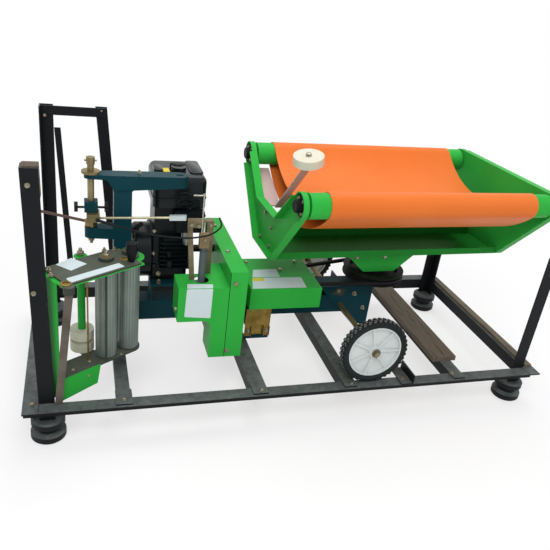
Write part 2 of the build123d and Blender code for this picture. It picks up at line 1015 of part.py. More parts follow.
# Gear cover: folded sheet, open below and behind, with a hole for the damper
with BuildPart() as gear_cover:
    with BuildSketch(front_plane(gear_back)) as gear_face:
        Polygon(
            (gear_left, gear_top),
            (gear_right, gear_top),
            (gear_right, guard_foot),
            (gear_leg_left, guard_foot),
            (gear_leg_left, gear_bottom),
            (gear_left, gear_bottom),
            align=None,
        )
    extrude(amount=gear_back - gear_front)
    with BuildSketch(front_plane(gear_back)):
        Polygon(
            (gear_left + sheet, gear_top - sheet),
            (gear_right - sheet, gear_top - sheet),
            (gear_right - sheet, guard_foot),
            (gear_leg_left + sheet, guard_foot),
            (gear_leg_left + sheet, gear_bottom),
            (gear_left + sheet, gear_bottom),
            align=None,
        )
    extrude(amount=gear_back - gear_front - sheet, mode=Mode.SUBTRACT)
    with BuildSketch(level(guard_foot)):
        box_between(gear_left, gear_notch_right, gear_notch_front, gear_back)
    extrude(amount=gear_top - guard_foot, mode=Mode.SUBTRACT)
    with BuildSketch(level(gear_bottom)):
        with Locations((damper_x, damper_y)):
            Circle(gear_hole_radius)
    extrude(amount=gear_top - gear_bottom, mode=Mode.SUBTRACT)
    with BuildSketch(level(guard_foot)):
        box_between(gear_leg_left, gear_right, -beam_size / 2 - rest_gap, gear_back)
    extrude(amount=beam_top - guard_foot, mode=Mode.SUBTRACT)
save(gear_cover, "gear_cover")

# Drive guard: a narrow box from the gearbox back to the engine's output shaft
guard_outline = [
    (guard_front, guard_foot),
    (guard_front, guard_top),
    (guard_back, guard_top),
    (guard_back, guard_rise),
    (-beam_size / 2 - rest_gap, guard_rise),
    (-beam_size / 2 - rest_gap, guard_foot),
]
with BuildPart() as guard:
    with BuildSketch(side_plane(guard_left)):
        Polygon(*guard_outline, align=None)
    extrude(amount=guard_width)
    with BuildSketch(side_plane(guard_left + sheet)):
        Polygon(
            (guard_front + sheet, guard_foot),
            (guard_front + sheet, guard_top - sheet),
            (guard_back - sheet, guard_top - sheet),
            (guard_back - sheet, guard_rise),
            (-beam_size / 2 - rest_gap, guard_rise),
            (-beam_size / 2 - rest_gap - sheet, guard_foot),
            align=None,
        )
    extrude(amount=guard_width - 2 * sheet, mode=Mode.SUBTRACT)
    with BuildSketch(side_plane(guard_left)):
        with Locations((starter_y, starter_z)):
            Circle(output_radius + sheet)
    extrude(amount=sheet, mode=Mode.SUBTRACT)
save(guard, "drive_guard")

# Belt cover over the belt to the turntable, open below and at its right end
with BuildPart() as belt_cover:
    with BuildSketch(level(belt_cover_bottom)):
        box_between(belt_cover_left, belt_cover_right, belt_cover_front, -belt_cover_front)
    extrude(amount=belt_cover_height)
    fillet(belt_cover.edges().filter_by(Axis.Y).group_by(Axis.Z)[-1], cover_corner)
    with BuildSketch(level(belt_cover_bottom)):
        box_between(
            belt_cover_left + sheet,
            belt_cover_right,
            belt_cover_front + sheet,
            -belt_cover_front - sheet,
        )
    extrude(amount=belt_cover_height - sheet, mode=Mode.SUBTRACT)
save(belt_cover, "belt_cover")

# Gearbox inside the gear cover
with BuildPart() as gearbox:
    with BuildSketch(level(beam_bottom)):
        box_between(
            gear_leg_left + cover_corner, gearbox_right, gearbox_front, -beam_size / 2
        )
    extrude(amount=gearbox_top - beam_bottom)
    with BuildSketch(level(gear_bottom + cover_corner)):
        box_between(gearbox_left, gearbox_right, gearbox_front, -beam_size / 2)
    extrude(amount=gearbox_top - gear_bottom - cover_corner)
save(gearbox, "gearbox")

# Damper that stands in the hole of the gear cover, with a clevis on top
with BuildPart() as damper:
    with BuildSketch(level(gearbox_top)):
        with Locations((damper_x, damper_y)):
            Circle(damper_radius)
    extrude(amount=damper_top - gearbox_top)
    with BuildSketch(level(damper_top)):
        with Locations((damper_x, damper_y)):
            Circle(damper_lug_radius)
    extrude(amount=damper_radius)
    with BuildSketch(level(damper_top + damper_radius)):
        with Locations((damper_x, damper_y)):
            Rectangle(clevis_width, clevis_depth)
    extrude(amount=clevis_height)
save(damper, "damper")

# Zinc lever bracket: plate, leaning strip, square tube and a bent wire
plate_y = damper_y
with BuildPart() as lever:
    with BuildSketch(front_plane(plate_y)):
        box_between(lever_left, lever_right, lever_bottom, lever_bottom + lever_height)
        Polygon(
            (lever_left, lever_bottom),
            (lever_left + lean_width, lever_bottom),
            (lean_foot_x + lean_width / 2, gear_top),
            (lean_foot_x - lean_width / 2, gear_top),
            align=None,
        )
    extrude(amount=-lever_thickness)
    with BuildSketch(level(lever_bottom)):
        box_between(lever_right - lean_width, lever_right, plate_y, tube_y + tube_size / 2)
        box_between(lever_right - lean_width, tube_x + tube_size / 2,
                    tube_y - tube_size / 2, tube_y + tube_size / 2)
    extrude(amount=lever_thickness)
    with BuildSketch(level(gearbox_top)):
        with Locations((tube_x, tube_y)):
            Rectangle(tube_size, tube_size)
            Rectangle(
                tube_size - 2 * lever_thickness, tube_size - 2 * lever_thickness, mode=Mode.SUBTRACT
            )
    extrude(amount=lever_bottom - gearbox_top)
save(lever, "lever_bracket")

# Link rod from the fixed block of the shaft to the fork at the lever bracket
with BuildPart() as link:
    with BuildSketch(Plane(origin=link_start, z_dir=link_way)):
        Circle(link_radius)
    extrude(amount=link_way.length)
    with BuildSketch(Plane(origin=link_end, x_dir=(0, 0, 1), z_dir=link_way)):
        Rectangle(fork_size, fork_size)
    extrude(amount=fork_length)
save(link, "link_rod")

# Control cable from its adjuster by the column to the clamp on the square tube
with BuildPart() as cable:
    with BuildLine() as cable_line:
        turns = []
        for before, corner, after in zip(cable_route, cable_route[1:], cable_route[2:]):
            run_in = Vector(*corner) - Vector(*before)
            run_out = Vector(*after) - Vector(*corner)
            turn = radians(run_in.get_angle(run_out))
            shorter = min(run_in.length, run_out.length)
            turns.append(0.45 * shorter / (sin(turn / 2) / cos(turn / 2)))
        FilletPolyline(*cable_route, radius=turns)
    with BuildSketch(Plane(origin=cable_line.line @ 0, z_dir=cable_line.line % 0)):
        Circle(cable_radius)
    sweep()
    adjuster_way = Vector(*cable_route[1]) - Vector(*cable_route[0])
    with BuildSketch(Plane(origin=cable_route[0], z_dir=-adjuster_way)):
        Circle(adjuster_radius)
    extrude(amount=adjuster_length)
save(cable, "control_cable")

# Engine mount: a plate on two legs over the beam
with BuildPart() as mount:
    with BuildSketch(level(engine_bottom - mount_thickness)):
        box_between(engine_left, engine_right, mount_front, mount_back)
    extrude(amount=mount_thickness)
    with BuildSketch(level(beam_top)):
        box_between(engine_left, engine_left + mount_leg, mount_front, -mount_front)
        box_between(engine_right - mount_leg, engine_right, mount_front, -mount_front)
    extrude(amount=engine_bottom - mount_thickness - beam_top)
save(mount, "engine_mount")

# Engine: crankcase, shroud and a finned cylinder to the front
with BuildPart() as engine:
    with BuildSketch(level(engine_bottom)):
        box_between(engine_left, engine_right, engine_front, engine_back)
    extrude(amount=engine_case_top - engine_bottom)
    fillet(engine.edges().filter_by(Axis.Z), starter_round)
    with BuildSketch(level(engine_case_top)):
        box_between(
            engine_left + engine_shroud_inset,
            engine_right - engine_shroud_inset,
            engine_front + engine_shroud_inset,
            engine_back - engine_shroud_inset,
        )
    extrude(amount=tank_bottom - engine_case_top)
    with BuildSketch(level(fin_bottom)):
        box_between(
            fin_left + fin_core_inset,
            fin_right - fin_core_inset,
            fin_front + fin_core_inset,
            engine_front + fin_core_inset,
        )
    extrude(amount=fin_count * fin_pitch)
    for fin in range(fin_count):
        with BuildSketch(level(fin_bottom + fin * fin_pitch)):
            box_between(fin_left, fin_right, fin_front, engine_front)
        extrude(amount=fin_thickness)
    with BuildSketch(side_plane(engine_right)):
        with Locations((starter_y, starter_z)):
            Circle(output_radius)
    extrude(amount=guard_left + guard_width / 2 - engine_right)
save(engine, "engine_block")

with BuildPart() as tank:
    with BuildSketch(level(tank_bottom)):
        box_between(tank_left, tank_right, tank_front, tank_back)
    extrude(amount=tank_top - tank_bottom)
    fillet(tank.edges().filter_by(Axis.Z), tank_round)
    fillet(tank.faces().sort_by(Axis.Z)[-1].edges(), tank_round)
    with BuildSketch(level(tank_top - tank_cap_height)):
        with Locations(((tank_left + tank_right) / 2, (tank_front + tank_back) / 3)):
            Circle(tank_cap_radius)
    extrude(amount=2 * tank_cap_height)
save(tank, "engine_tank")

with BuildPart() as starter:
    with BuildSketch(side_plane(engine_left)):
        with Locations((starter_y, starter_z)):
            Circle(starter_radius)
    extrude(amount=-starter_depth)
    fillet(starter.faces().sort_by(Axis.X)[0].edges(), starter_round)
save(starter, "engine_starter")

with BuildPart() as muffler:
    with BuildSketch(level(muffler_bottom)):
        box_between(engine_right - engine_shroud_inset, muffler_right, muffler_front,
                    engine_back - engine_shroud_inset)
    extrude(amount=muffler_top - muffler_bottom)
    fillet(muffler.edges().filter_by(Axis.Z), starter_round)
save(muffler, "engine_muffler")

with BuildPart() as cleaner:
    with BuildSketch(level(cleaner_bottom)):
        box_between(cleaner_left, cleaner_right, cleaner_front, cleaner_back)
    extrude(amount=cleaner_top - cleaner_bottom)
    fillet(cleaner.edges().filter_by(Axis.Z), starter_round)
    with BuildSketch(front_plane(engine_front + engine_shroud_inset)):
        with Locations((engine_right - 2 * starter_round - engine_shroud_inset,
                        (cleaner_bottom + cleaner_top) / 2)):
            Circle(starter_round)
    extrude(amount=engine_front + engine_shroud_inset - cleaner_back)
save(cleaner, "air_cleaner")

# Zinc bracket in front of the beam
with BuildPart() as hitch:
    hitch_front = -beam_size / 2 - hitch_reach
    with BuildSketch(level(beam_bottom)):
        box_between(hitch_left, hitch_right, hitch_front, -beam_size / 2)
    extrude(amount=hitch_plate)
    with BuildSketch(front_plane(hitch_front + hitch_plate)):
        box_between(hitch_left, hitch_right, beam_bottom, beam_bottom + hitch_height - hitch_plate)
        box_between(hitch_left, hitch_left + hitch_angle_width,
                    beam_bottom - hitch_foot, beam_bottom)
        box_between(hitch_right - hitch_angle_width, hitch_right,
                    beam_bottom - hitch_foot, beam_bottom)
    extrude(amount=hitch_plate)
save(hitch, "beam_bracket")

# Pedestal: two gussets beside the beam, a top plate and the spindle
with BuildPart() as pedestal:
    for face_y in (-beam_size / 2, beam_size / 2 + pedestal_plate):
        with BuildSketch(front_plane(face_y)):
            Polygon(
                (pedestal_left, pedestal_top - pedestal_plate),
                (pedestal_narrow, pedestal_bottom),
                (pedestal_right, pedestal_bottom),
                (pedestal_right, pedestal_top - pedestal_plate),
                align=None,
            )
            with Locations((wheel_x, wheel_z)):
                Circle(axle_radius, mode=Mode.SUBTRACT)
        extrude(amount=pedestal_plate)
    with BuildSketch(level(pedestal_top - pedestal_plate)):
        box_between(
            pedestal_left, table_x + pedestal_nose,
            -pedestal_width / 2, pedestal_width / 2,
        )
    extrude(amount=pedestal_plate)
    with BuildSketch(level(pedestal_top)):
        with Locations((table_x, 0)):
            Circle(spindle_radius)
    extrude(amount=spindle_top - pedestal_top)
    with BuildSketch(side_plane(pedestal_right - pedestal_plate)):
        box_between(-beam_size / 2, beam_size / 2, pedestal_bottom, pedestal_top - pedestal_plate)
    extrude(amount=pedestal_plate)
save(pedestal, "pedestal")

# Axle through the beam, with a cap outside each wheel
axle_half = wheel_track / 2 + hub_length / 2 + axle_end
with BuildPart() as axle:
    with BuildSketch(front_plane(axle_half)):
        with Locations((wheel_x, wheel_z)):
            Circle(axle_radius)
    extrude(amount=2 * axle_half)
    for side in (-1, 1):
        cap_start = side * (wheel_track / 2 + hub_length / 2 + rest_gap)
        with BuildSketch(front_plane(cap_start)):
            with Locations((wheel_x, wheel_z)):
                Circle(axle_cap_radius)
        extrude(amount=-side * axle_cap_length)
        with BuildSketch(front_plane(side * (wheel_track / 2 - hub_length / 2 - rest_gap))):
            with Locations((wheel_x, wheel_z)):
                Circle(axle_cap_radius)
        extrude(amount=side * axle_cap_length)
save(axle, "axle")


def wheel_parts(side, suffix):
    """Tyre and rim of one transport wheel, at one end of the axle."""
    middle = side * wheel_track / 2
    with BuildPart() as tyre:
        with BuildSketch(Plane(origin=(wheel_x, middle, wheel_z), x_dir=(0, 1, 0),
                               z_dir=(-1, 0, 0))):
            Polygon(
                (-rim_lip_width / 2, -rim_radius),
                (-wheel_width / 2, -rim_radius - tyre_shoulder),
                (-wheel_width / 2, -wheel_radius + tyre_shoulder),
                (-wheel_width / 2 + tyre_shoulder, -wheel_radius),
                (wheel_width / 2 - tyre_shoulder, -wheel_radius),
                (wheel_width / 2, -wheel_radius + tyre_shoulder),
                (wheel_width / 2, -rim_radius - tyre_shoulder),
                (rim_lip_width / 2, -rim_radius),
                align=None,
            )
        revolve(axis=Axis((wheel_x, middle, wheel_z), (0, 1, 0)))
    save(tyre, f"wheel_tyre_{suffix}")
    with BuildPart() as rim:
        with BuildSketch(front_plane(middle + rim_lip_width / 2)):
            with Locations((wheel_x, wheel_z)):
                Circle(rim_radius)
                Circle(rim_radius - rim_lip, mode=Mode.SUBTRACT)
        extrude(amount=rim_lip_width)
        with BuildSketch(front_plane(middle + rim_web / 2)):
            with Locations((wheel_x, wheel_z)):
                Circle(rim_radius - rim_lip)
        extrude(amount=rim_web)
        with BuildSketch(front_plane(middle + rim_web / 2 + rim_rib_depth)):
            with Locations((wheel_x, wheel_z)):
                with PolarLocations(rim_radius / 2, rim_rib_count):
                    Rectangle(rim_radius - 2 * rim_lip, rim_rib_width)
        extrude(amount=rim_web + 2 * rim_rib_depth)
        with BuildSketch(front_plane(middle + hub_length / 2)):
            with Locations((wheel_x, wheel_z)):
                Circle(hub_radius)
        extrude(amount=hub_length)
        with BuildSketch(front_plane(middle + hub_length / 2)):
            with Locations((wheel_x, wheel_z)):
                Circle(hub_bore_radius)
        extrude(amount=hub_length, mode=Mode.SUBTRACT)
    save(rim, f"wheel_rim_{suffix}")


wheel_parts(-1, "near")
wheel_parts(1, "far")

# Turntable: its frame turns with the table, with u along the rollers and v across them
table_cos = cos(radians(table_angle))
table_sin = sin(radians(table_angle))


def table_level(height):
    """Level plane of the table, with u along the rollers and v across them."""
    return Plane(
        origin=(table_x + table_offset * table_cos, table_offset * table_sin, height),
        x_dir=(table_cos, table_sin, 0),
        z_dir=(0, 0, 1),
    )


def table_front(v):
    """Upright plane along the rollers, its normal towards the front."""
    middle = table_level(0).from_local_coords((0, v, 0))
    return Plane(origin=middle, x_dir=(table_cos, table_sin, 0), z_dir=(table_sin, -table_cos, 0))


def table_side(u):
    """Upright plane across the rollers, its normal along them."""
    middle = table_level(0).from_local_coords((u, 0, 0))
    return Plane(origin=middle, x_dir=(-table_sin, table_cos, 0), z_dir=(table_cos, table_sin, 0))


# Pulley with one groove, on the spindle
pulley_mid = pulley_bottom + pulley_rim / 2
pulley_top = pulley_bottom + pulley_rim
groove_half = pulley_rim / 2 - pulley_groove_wall
groove_foot = belt_section / 2 + pulley_groove_gap
with BuildPart() as pulley:
    with BuildSketch(Plane(origin=(table_x, 0, 0), x_dir=(1, 0, 0), z_dir=(0, -1, 0))):
        Polygon(
            (spindle_radius + spindle_gap, pedestal_top + belt_gap),
            (pulley_hub_radius, pedestal_top + belt_gap),
            (pulley_hub_radius, pulley_mid - pulley_web / 2),
            (pulley_radius - 2 * pulley_groove_depth, pulley_mid - pulley_web / 2),
            (pulley_radius - 2 * pulley_groove_depth, pulley_bottom),
            (pulley_radius, pulley_bottom),
            (pulley_radius, pulley_mid - groove_half),
            (pulley_radius - pulley_groove_depth, pulley_mid - groove_foot),
            (pulley_radius - pulley_groove_depth, pulley_mid + groove_foot),
            (pulley_radius, pulley_mid + groove_half),
            (pulley_radius, pulley_top),
            (pulley_radius - 2 * pulley_groove_depth, pulley_top),
            (pulley_radius - 2 * pulley_groove_depth, pulley_mid + pulley_web / 2),
            (pulley_hub_radius, pulley_mid + pulley_web / 2),
            (pulley_hub_radius, pulley_top),
            (spindle_radius + spindle_gap, pulley_top),
            align=None,
        )
    revolve(axis=Axis((table_x, 0, 0), (0, 0, 1)))
save(pulley, "turntable_pulley")

# Belt from under its cover to the pulley: two level bends and two straight runs that rise
belt_side = belt_section - 2 * belt_gap
belt_middle = pulley_radius - pulley_groove_depth + belt_gap + belt_side / 2
drive_middle = drive_pulley_radius + belt_side / 2
belt_lean = (belt_middle - drive_middle) / (table_x - drive_pulley_x)
belt_rise = sqrt(1 - belt_lean * belt_lean)
belt_turn = degrees(atan2(belt_rise, -belt_lean))


with BuildPart() as drive_belt:
    for pulley_x, middle, height, side, wrap in (
        (table_x, belt_middle, pulley_mid, -1, 2 * belt_turn),
        (drive_pulley_x, drive_middle, belt_low_z, 1, 360 - 2 * belt_turn),
    ):
        out = Vector(-belt_lean, side * belt_rise, 0)
        with BuildSketch(Plane(origin=(pulley_x, 0, 0), x_dir=out, z_dir=out.cross(Vector(0, 0, 1)))):
            with Locations((middle, height)):
                Rectangle(belt_side, belt_side)
        revolve(axis=Axis((pulley_x, 0, 0), (0, 0, 1)), revolution_arc=wrap)
    for side in (-1, 1):
        out = Vector(-belt_lean, side * belt_rise, 0)
        along = out.cross(Vector(0, 0, side))
        ends = (
            Vector(table_x, 0, pulley_mid) + out * belt_middle,
            Vector(drive_pulley_x, 0, belt_low_z) + out * drive_middle,
        )
        for end in ends:
            with BuildSketch(Plane(origin=end, x_dir=out, z_dir=along)):
                Rectangle(belt_side, belt_side)
        loft()
save(drive_belt, "drive_belt")

# Small pulley at the other end of the belt, on a shaft that stands on the beam
drive_low = belt_low_z - belt_section / 2 - drive_pulley_gap
drive_high = belt_low_z + belt_section / 2 + drive_pulley_gap
with BuildPart() as drive_pulley:
    with BuildSketch(front_plane(0)):
        Polygon(
            (drive_pulley_x, drive_low - drive_pulley_side),
            (drive_pulley_x + drive_pulley_flange, drive_low - drive_pulley_side),
            (drive_pulley_x + drive_pulley_flange, drive_low),
            (drive_pulley_x + drive_pulley_radius - belt_gap, drive_low),
            (drive_pulley_x + drive_pulley_radius - belt_gap, drive_high),
            (drive_pulley_x + drive_pulley_flange, drive_high),
            (drive_pulley_x + drive_pulley_flange, drive_high + drive_pulley_side),
            (drive_pulley_x, drive_high + drive_pulley_side),
            align=None,
        )
    revolve(axis=Axis((drive_pulley_x, 0, 0), (0, 0, 1)))
    with BuildSketch(level(beam_top + belt_gap)):
        with Locations((drive_pulley_x, 0)):
            Circle(drive_shaft_boss)
    extrude(amount=belt_low_z - beam_top - belt_gap)
save(drive_pulley, "drive_pulley")

# Bracket between the pulley and the trough, centred on the spindle
with BuildPart() as bracket:
    with BuildSketch(table_front(bracket_width / 2)):
        Polygon(
            (-table_offset - bracket_bottom_half, pulley_top),
            (-table_offset + bracket_bottom_half, pulley_top),
            (-table_offset + bracket_top_half, plate_bottom),
            (-table_offset - bracket_top_half, plate_bottom),
            align=None,
        )
    extrude(amount=bracket_width)
    with BuildSketch(table_front(bracket_width / 2 - bracket_plate)):
        Polygon(
            (-table_offset - bracket_bottom_half + bracket_plate, pulley_top + bracket_plate),
            (-table_offset + bracket_bottom_half - bracket_plate, pulley_top + bracket_plate),
            (-table_offset + bracket_top_half - 2 * bracket_plate, plate_bottom),
            (-table_offset - bracket_top_half + 2 * bracket_plate, plate_bottom),
            align=None,
        )
    extrude(amount=bracket_width - 2 * bracket_plate, mode=Mode.SUBTRACT)
    with BuildSketch(level(pulley_top)):
        with Locations((table_x, 0)):
            Circle(spindle_radius + spindle_gap)
    extrude(amount=bracket_plate, mode=Mode.SUBTRACT)
    with BuildSketch(level(pulley_top)):
        with Locations((table_x, 0)):
            Circle(spindle_radius + spindle_gap + bracket_plate)
            Circle(spindle_radius + spindle_gap, mode=Mode.SUBTRACT)
    extrude(amount=spindle_top - pulley_top + 2 * bracket_plate)
save(bracket, "turntable_bracket")

# Trough between the end plates, a plain channel
plate_u = roller_length / 2 + plate_gap
with BuildPart() as trough:
    with BuildSketch(table_side(-plate_u)):
        Polygon(
            (-plate_half, plate_bottom),
            (plate_half, plate_bottom),
            (plate_half, plate_bottom + trough_lip),
            (plate_half - trough_thickness, plate_bottom + trough_lip),
            (plate_half - trough_thickness, plate_bottom + trough_thickness),
            (-plate_half + trough_thickness, plate_bottom + trough_thickness),
            (-plate_half + trough_thickness, plate_bottom + trough_lip),
            (-plate_half, plate_bottom + trough_lip),
            align=None,
        )
    extrude(amount=2 * plate_u)
save(trough, "table_trough")

# End plates: two ears round the bearings on a narrow foot, with a flange outwards
ear_v = roller_pitch / 2


def ear_touch(corner, side):
    """Point where a line from a corner touches the circle of the ear, on one side of it."""
    run = corner[0] - ear_v
    rise = corner[1] - roller_z
    turn = atan2(rise, run) + side * acos(ear_radius / hypot(run, rise))
    return (ear_v + ear_radius * cos(turn), roller_z + ear_radius * sin(turn))


def plate_face(u, top_corners):
    """Outline of an end plate; its upper edge runs over the corners given, from the middle out."""
    foot = (plate_half, plate_bottom)
    low_touch = ear_touch(foot, 1)
    high_touch = ear_touch(top_corners[-1], -1) if top_corners else (ear_v, roller_z + ear_radius)
    middle_z = top_corners[0][1] if top_corners else roller_z + ear_radius
    with BuildSketch(table_side(u)) as face:
        with BuildLine():
            Polyline((0, plate_bottom), foot, low_touch)
            ThreePointArc(
                low_touch,
                (ear_v + ear_radius * cos(radians(30)), roller_z + ear_radius * sin(radians(30))),
                high_touch,
            )
            Polyline(high_touch, *reversed(top_corners), (0, middle_z))
            mirror(about=Plane.YZ)
        make_face()
    return face.sketch_local


def end_plate(side, top_corners):
    """End plate of the table: a web against the trough and a flange, lower round the ears."""
    ears = [(-ear_v, roller_z), (ear_v, roller_z)]
    outline = plate_face(side * plate_u, top_corners)
    with BuildPart() as plate:
        with BuildSketch(table_side(side * plate_u)):
            add(outline)
        extrude(amount=side * plate_thickness)
        with BuildSketch(table_side(side * plate_u)):
            add(outline)
            offset(outline, amount=-plate_thickness, mode=Mode.SUBTRACT, kind=Kind.INTERSECTION)
        extrude(amount=side * plate_flange)
        with BuildSketch(table_side(side * (plate_u + ear_flange))):
            with Locations(*ears):
                Circle(ear_radius + plate_thickness)
        extrude(amount=side * plate_flange, mode=Mode.SUBTRACT)
        with BuildSketch(table_side(side * plate_u)):
            with Locations(*ears):
                Circle(stub_radius + spindle_gap)
        extrude(amount=side * plate_flange, mode=Mode.SUBTRACT)
    return plate


save(end_plate(-1, [(notch_half, notch_bottom)]), "table_plate_left")
save(end_plate(1, []), "table_plate_right")

# Flanged bearings outside the end plates
with BuildPart() as bearings:
    for side in (-1, 1):
        start = side * (plate_u + plate_thickness)
        with BuildSketch(table_side(start)):
            with Locations(*[(s * roller_pitch / 2, roller_z) for s in (-1, 1)]):
                Circle(bearing_radius)
                Circle(stub_radius + spindle_gap, mode=Mode.SUBTRACT)
        extrude(amount=side * bearing_flange)
        with BuildSketch(table_side(start)):
            with Locations(*[(s * roller_pitch / 2, roller_z) for s in (-1, 1)]):
                Circle(bearing_boss_radius)
                Circle(stub_radius + spindle_gap, mode=Mode.SUBTRACT)
        extrude(amount=side * bearing_height)
save(bearings, "table_bearings")


def table_roller(v):
    """Steel roller with a stub shaft in each bearing."""
    with BuildPart() as roller:
        with BuildSketch(table_side(-roller_length / 2)):
            with Locations((v, roller_z)):
                Circle(roller_radius)
        extrude(amount=roller_length)
        half = roller_length / 2 + stub_reach
        with BuildSketch(table_side(-half)):
            with Locations((v, roller_z)):
                Circle(stub_radius)
        extrude(amount=2 * half)
    return roller


save(table_roller(-roller_pitch / 2), "table_roller_front")
save(table_roller(roller_pitch / 2), "table_roller_rear")

# Endless band round both rollers, with both runs sagging in arcs that touch the rollers
wrap_radius = roller_radius + band_gap
band_half_width = roller_length / 2 - band_margin
top_drop = roller_z - band_top_sag
low_drop = roller_z - band_low_sag
half_pitch = roller_pitch / 2
top_radius = (half_pitch ** 2 + top_drop ** 2 - wrap_radius ** 2) / (2 * (wrap_radius + top_drop))
low_radius = (half_pitch ** 2 + low_drop ** 2 - wrap_radius ** 2) / (2 * (low_drop - wrap_radius))


def band_face(grow):
    """Closed outline of the band's inner face, grown outwards by some thickness."""
    wrap = wrap_radius + grow
    upper = top_radius - grow
    lower = low_radius + grow
    upper_z = band_top_sag + top_radius
    lower_z = band_low_sag + low_radius
    upper_turn = atan2(upper_z - roller_z, half_pitch)
    lower_turn = atan2(lower_z - roller_z, half_pitch)
    upper_end = (half_pitch - wrap * cos(upper_turn), roller_z + wrap * sin(upper_turn))
    lower_end = (half_pitch + wrap * cos(lower_turn), roller_z - wrap * sin(lower_turn))
    outer_side = (half_pitch + wrap * cos(radians(20)), roller_z + wrap * sin(radians(20)))
    with BuildSketch(table_side(-band_half_width)) as face:
        with BuildLine():
            ThreePointArc(
                (-upper_end[0], upper_end[1]), (0, upper_z - upper), upper_end
            )
            ThreePointArc(upper_end, outer_side, lower_end)
            ThreePointArc(lower_end, (0, lower_z - lower), (-lower_end[0], lower_end[1]))
            ThreePointArc(
                (-lower_end[0], lower_end[1]),
                (-outer_side[0], outer_side[1]),
                (-upper_end[0], upper_end[1]),
            )
        make_face()
    return face.sketch_local


with BuildPart() as band:
    with BuildSketch(table_side(-band_half_width)):
        add(band_face(band_thickness))
        add(band_face(0), mode=Mode.SUBTRACT)
    extrude(amount=2 * band_half_width)
save(band, "table_band")

# Guide arm: flat bar bent to a V, welded inside the left end plate, wide on its rear leg
arm_u = -plate_u


def arm_leg(start_u, width, tip):
    """One leg of the arm, as flat bar from its foot to a tip."""
    run = Vector(*tip) - Vector(arm_foot_v, arm_foot_z)
    across = Vector(-run.Y, run.X).normalized() * arm_bar_thickness
    with BuildPart() as leg:
        with BuildSketch(table_side(start_u)):
            Polygon(
                (arm_foot_v, arm_foot_z),
                tip,
                (tip[0] + across.X, tip[1] + across.Y),
                (arm_foot_v + across.X, arm_foot_z + across.Y),
                align=None,
            )
        extrude(amount=width)
    return leg


guide_axis = (
    table_level(0).from_local_coords(
        (-sin(radians(guide_lean_out)), -sin(radians(guide_lean_front)), 1)
    )
    - table_level(0).origin
).normalized()
guide_root = table_level(0).from_local_coords(
    (arm_u + arm_inset + arm_bar_width / 2, arm_tip_v, arm_tip_z)
)
with BuildPart() as guide_arm:
    add(arm_leg(arm_u, arm_rear_width, (arm_rear_v, arm_rear_z)).part)
    add(arm_leg(arm_u + arm_inset, arm_bar_width, (arm_tip_v, arm_tip_z)).part)
    with BuildSketch(Plane(origin=guide_root - guide_axis * guide_washer, z_dir=guide_axis)):
        Circle(guide_washer_radius)
    extrude(amount=2 * guide_washer)
    with BuildSketch(Plane(origin=guide_root, z_dir=guide_axis)):
        Circle(guide_pin_radius)
    extrude(amount=guide_washer + guide_width + guide_pin_rise)
save(guide_arm, "guide_arm")

# Guide wheel of white nylon on the pin
wheel_root = guide_root + guide_axis * (guide_washer + rest_gap)
with BuildPart() as guide_wheel:
    with BuildSketch(Plane(origin=wheel_root, z_dir=guide_axis)):
        Circle(guide_radius)
        Circle(guide_bore_radius, mode=Mode.SUBTRACT)
    extrude(amount=guide_width)
save(guide_wheel, "guide_wheel")
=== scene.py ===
import json
import math
import random

import bpy
from mathutils import Matrix, Vector


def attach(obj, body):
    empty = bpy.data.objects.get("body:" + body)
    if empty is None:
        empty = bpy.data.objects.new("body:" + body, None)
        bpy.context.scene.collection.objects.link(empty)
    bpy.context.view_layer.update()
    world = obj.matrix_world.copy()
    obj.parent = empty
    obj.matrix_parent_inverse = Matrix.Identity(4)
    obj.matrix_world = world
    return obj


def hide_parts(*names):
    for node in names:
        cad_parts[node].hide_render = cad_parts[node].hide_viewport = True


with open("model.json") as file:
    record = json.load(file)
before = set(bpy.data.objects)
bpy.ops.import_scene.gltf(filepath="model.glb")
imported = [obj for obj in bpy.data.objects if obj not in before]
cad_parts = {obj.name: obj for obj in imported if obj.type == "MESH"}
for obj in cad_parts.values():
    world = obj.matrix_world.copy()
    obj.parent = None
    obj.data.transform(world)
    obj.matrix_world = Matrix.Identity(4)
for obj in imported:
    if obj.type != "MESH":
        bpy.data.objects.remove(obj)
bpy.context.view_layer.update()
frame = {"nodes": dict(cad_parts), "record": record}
nodes = frame["nodes"]
scene = bpy.context.scene
random.seed(11)
print("frame loaded", len(nodes), "nodes")


# materials, all procedural on Object coordinates

patchStops = {"dark": 0.3, "light": 0.7}
peelGrain = {"scale": 380.0, "detail": 2.0, "depth": 0.0006}
paintGrain = {"detail": 5.0, "coatRough": 0.15}
metalGrain = {"detail": 6.0}
steelWear = {
    "fine": (26.0, 8.0, 0.7), "broad": (5.0, 6.0, 0.6), "scuffs": (0.35, 0.7), "rust": (0.62, 0.74),
    "facing": (0.3, 0.9), "dust": 0.75, "specular": 0.14, "bump": 0.12, "depth": 0.001,
}
woodGrain = {
    "across": 38.0, "along": 3.0, "grain": (1.6, 8.0, 0.65), "fibres": (6.0, 3.0, 0.6),
    "rings": (0.32, 0.5, 0.68), "streaks": (0.3, 0.7), "streakShare": 0.25, "bump": 0.5, "depth": 0.0015,
}
black, white = (0, 0, 0), (1, 1, 1)


def newMaterial(name):
    mat = bpy.data.materials.new(name)
    mat.use_nodes = True
    return mat, mat.node_tree, mat.node_tree.nodes["Principled BSDF"]


def feed(tree, socket, value):
    # links another socket to this one, or sets a number, a vector or a color on it
    if isinstance(value, bpy.types.NodeSocket):
        tree.links.new(value, socket)
    elif socket.type == "RGBA":
        socket.default_value = tuple(value) + (1,)
    else:
        socket.default_value = value


def computed(tree, operation, *values, kind="ShaderNodeMath", output=0):
    node = tree.nodes.new(kind)
    node.operation = operation
    for socket, value in zip(node.inputs, values):
        feed(tree, socket, value)
    return node.outputs[output]


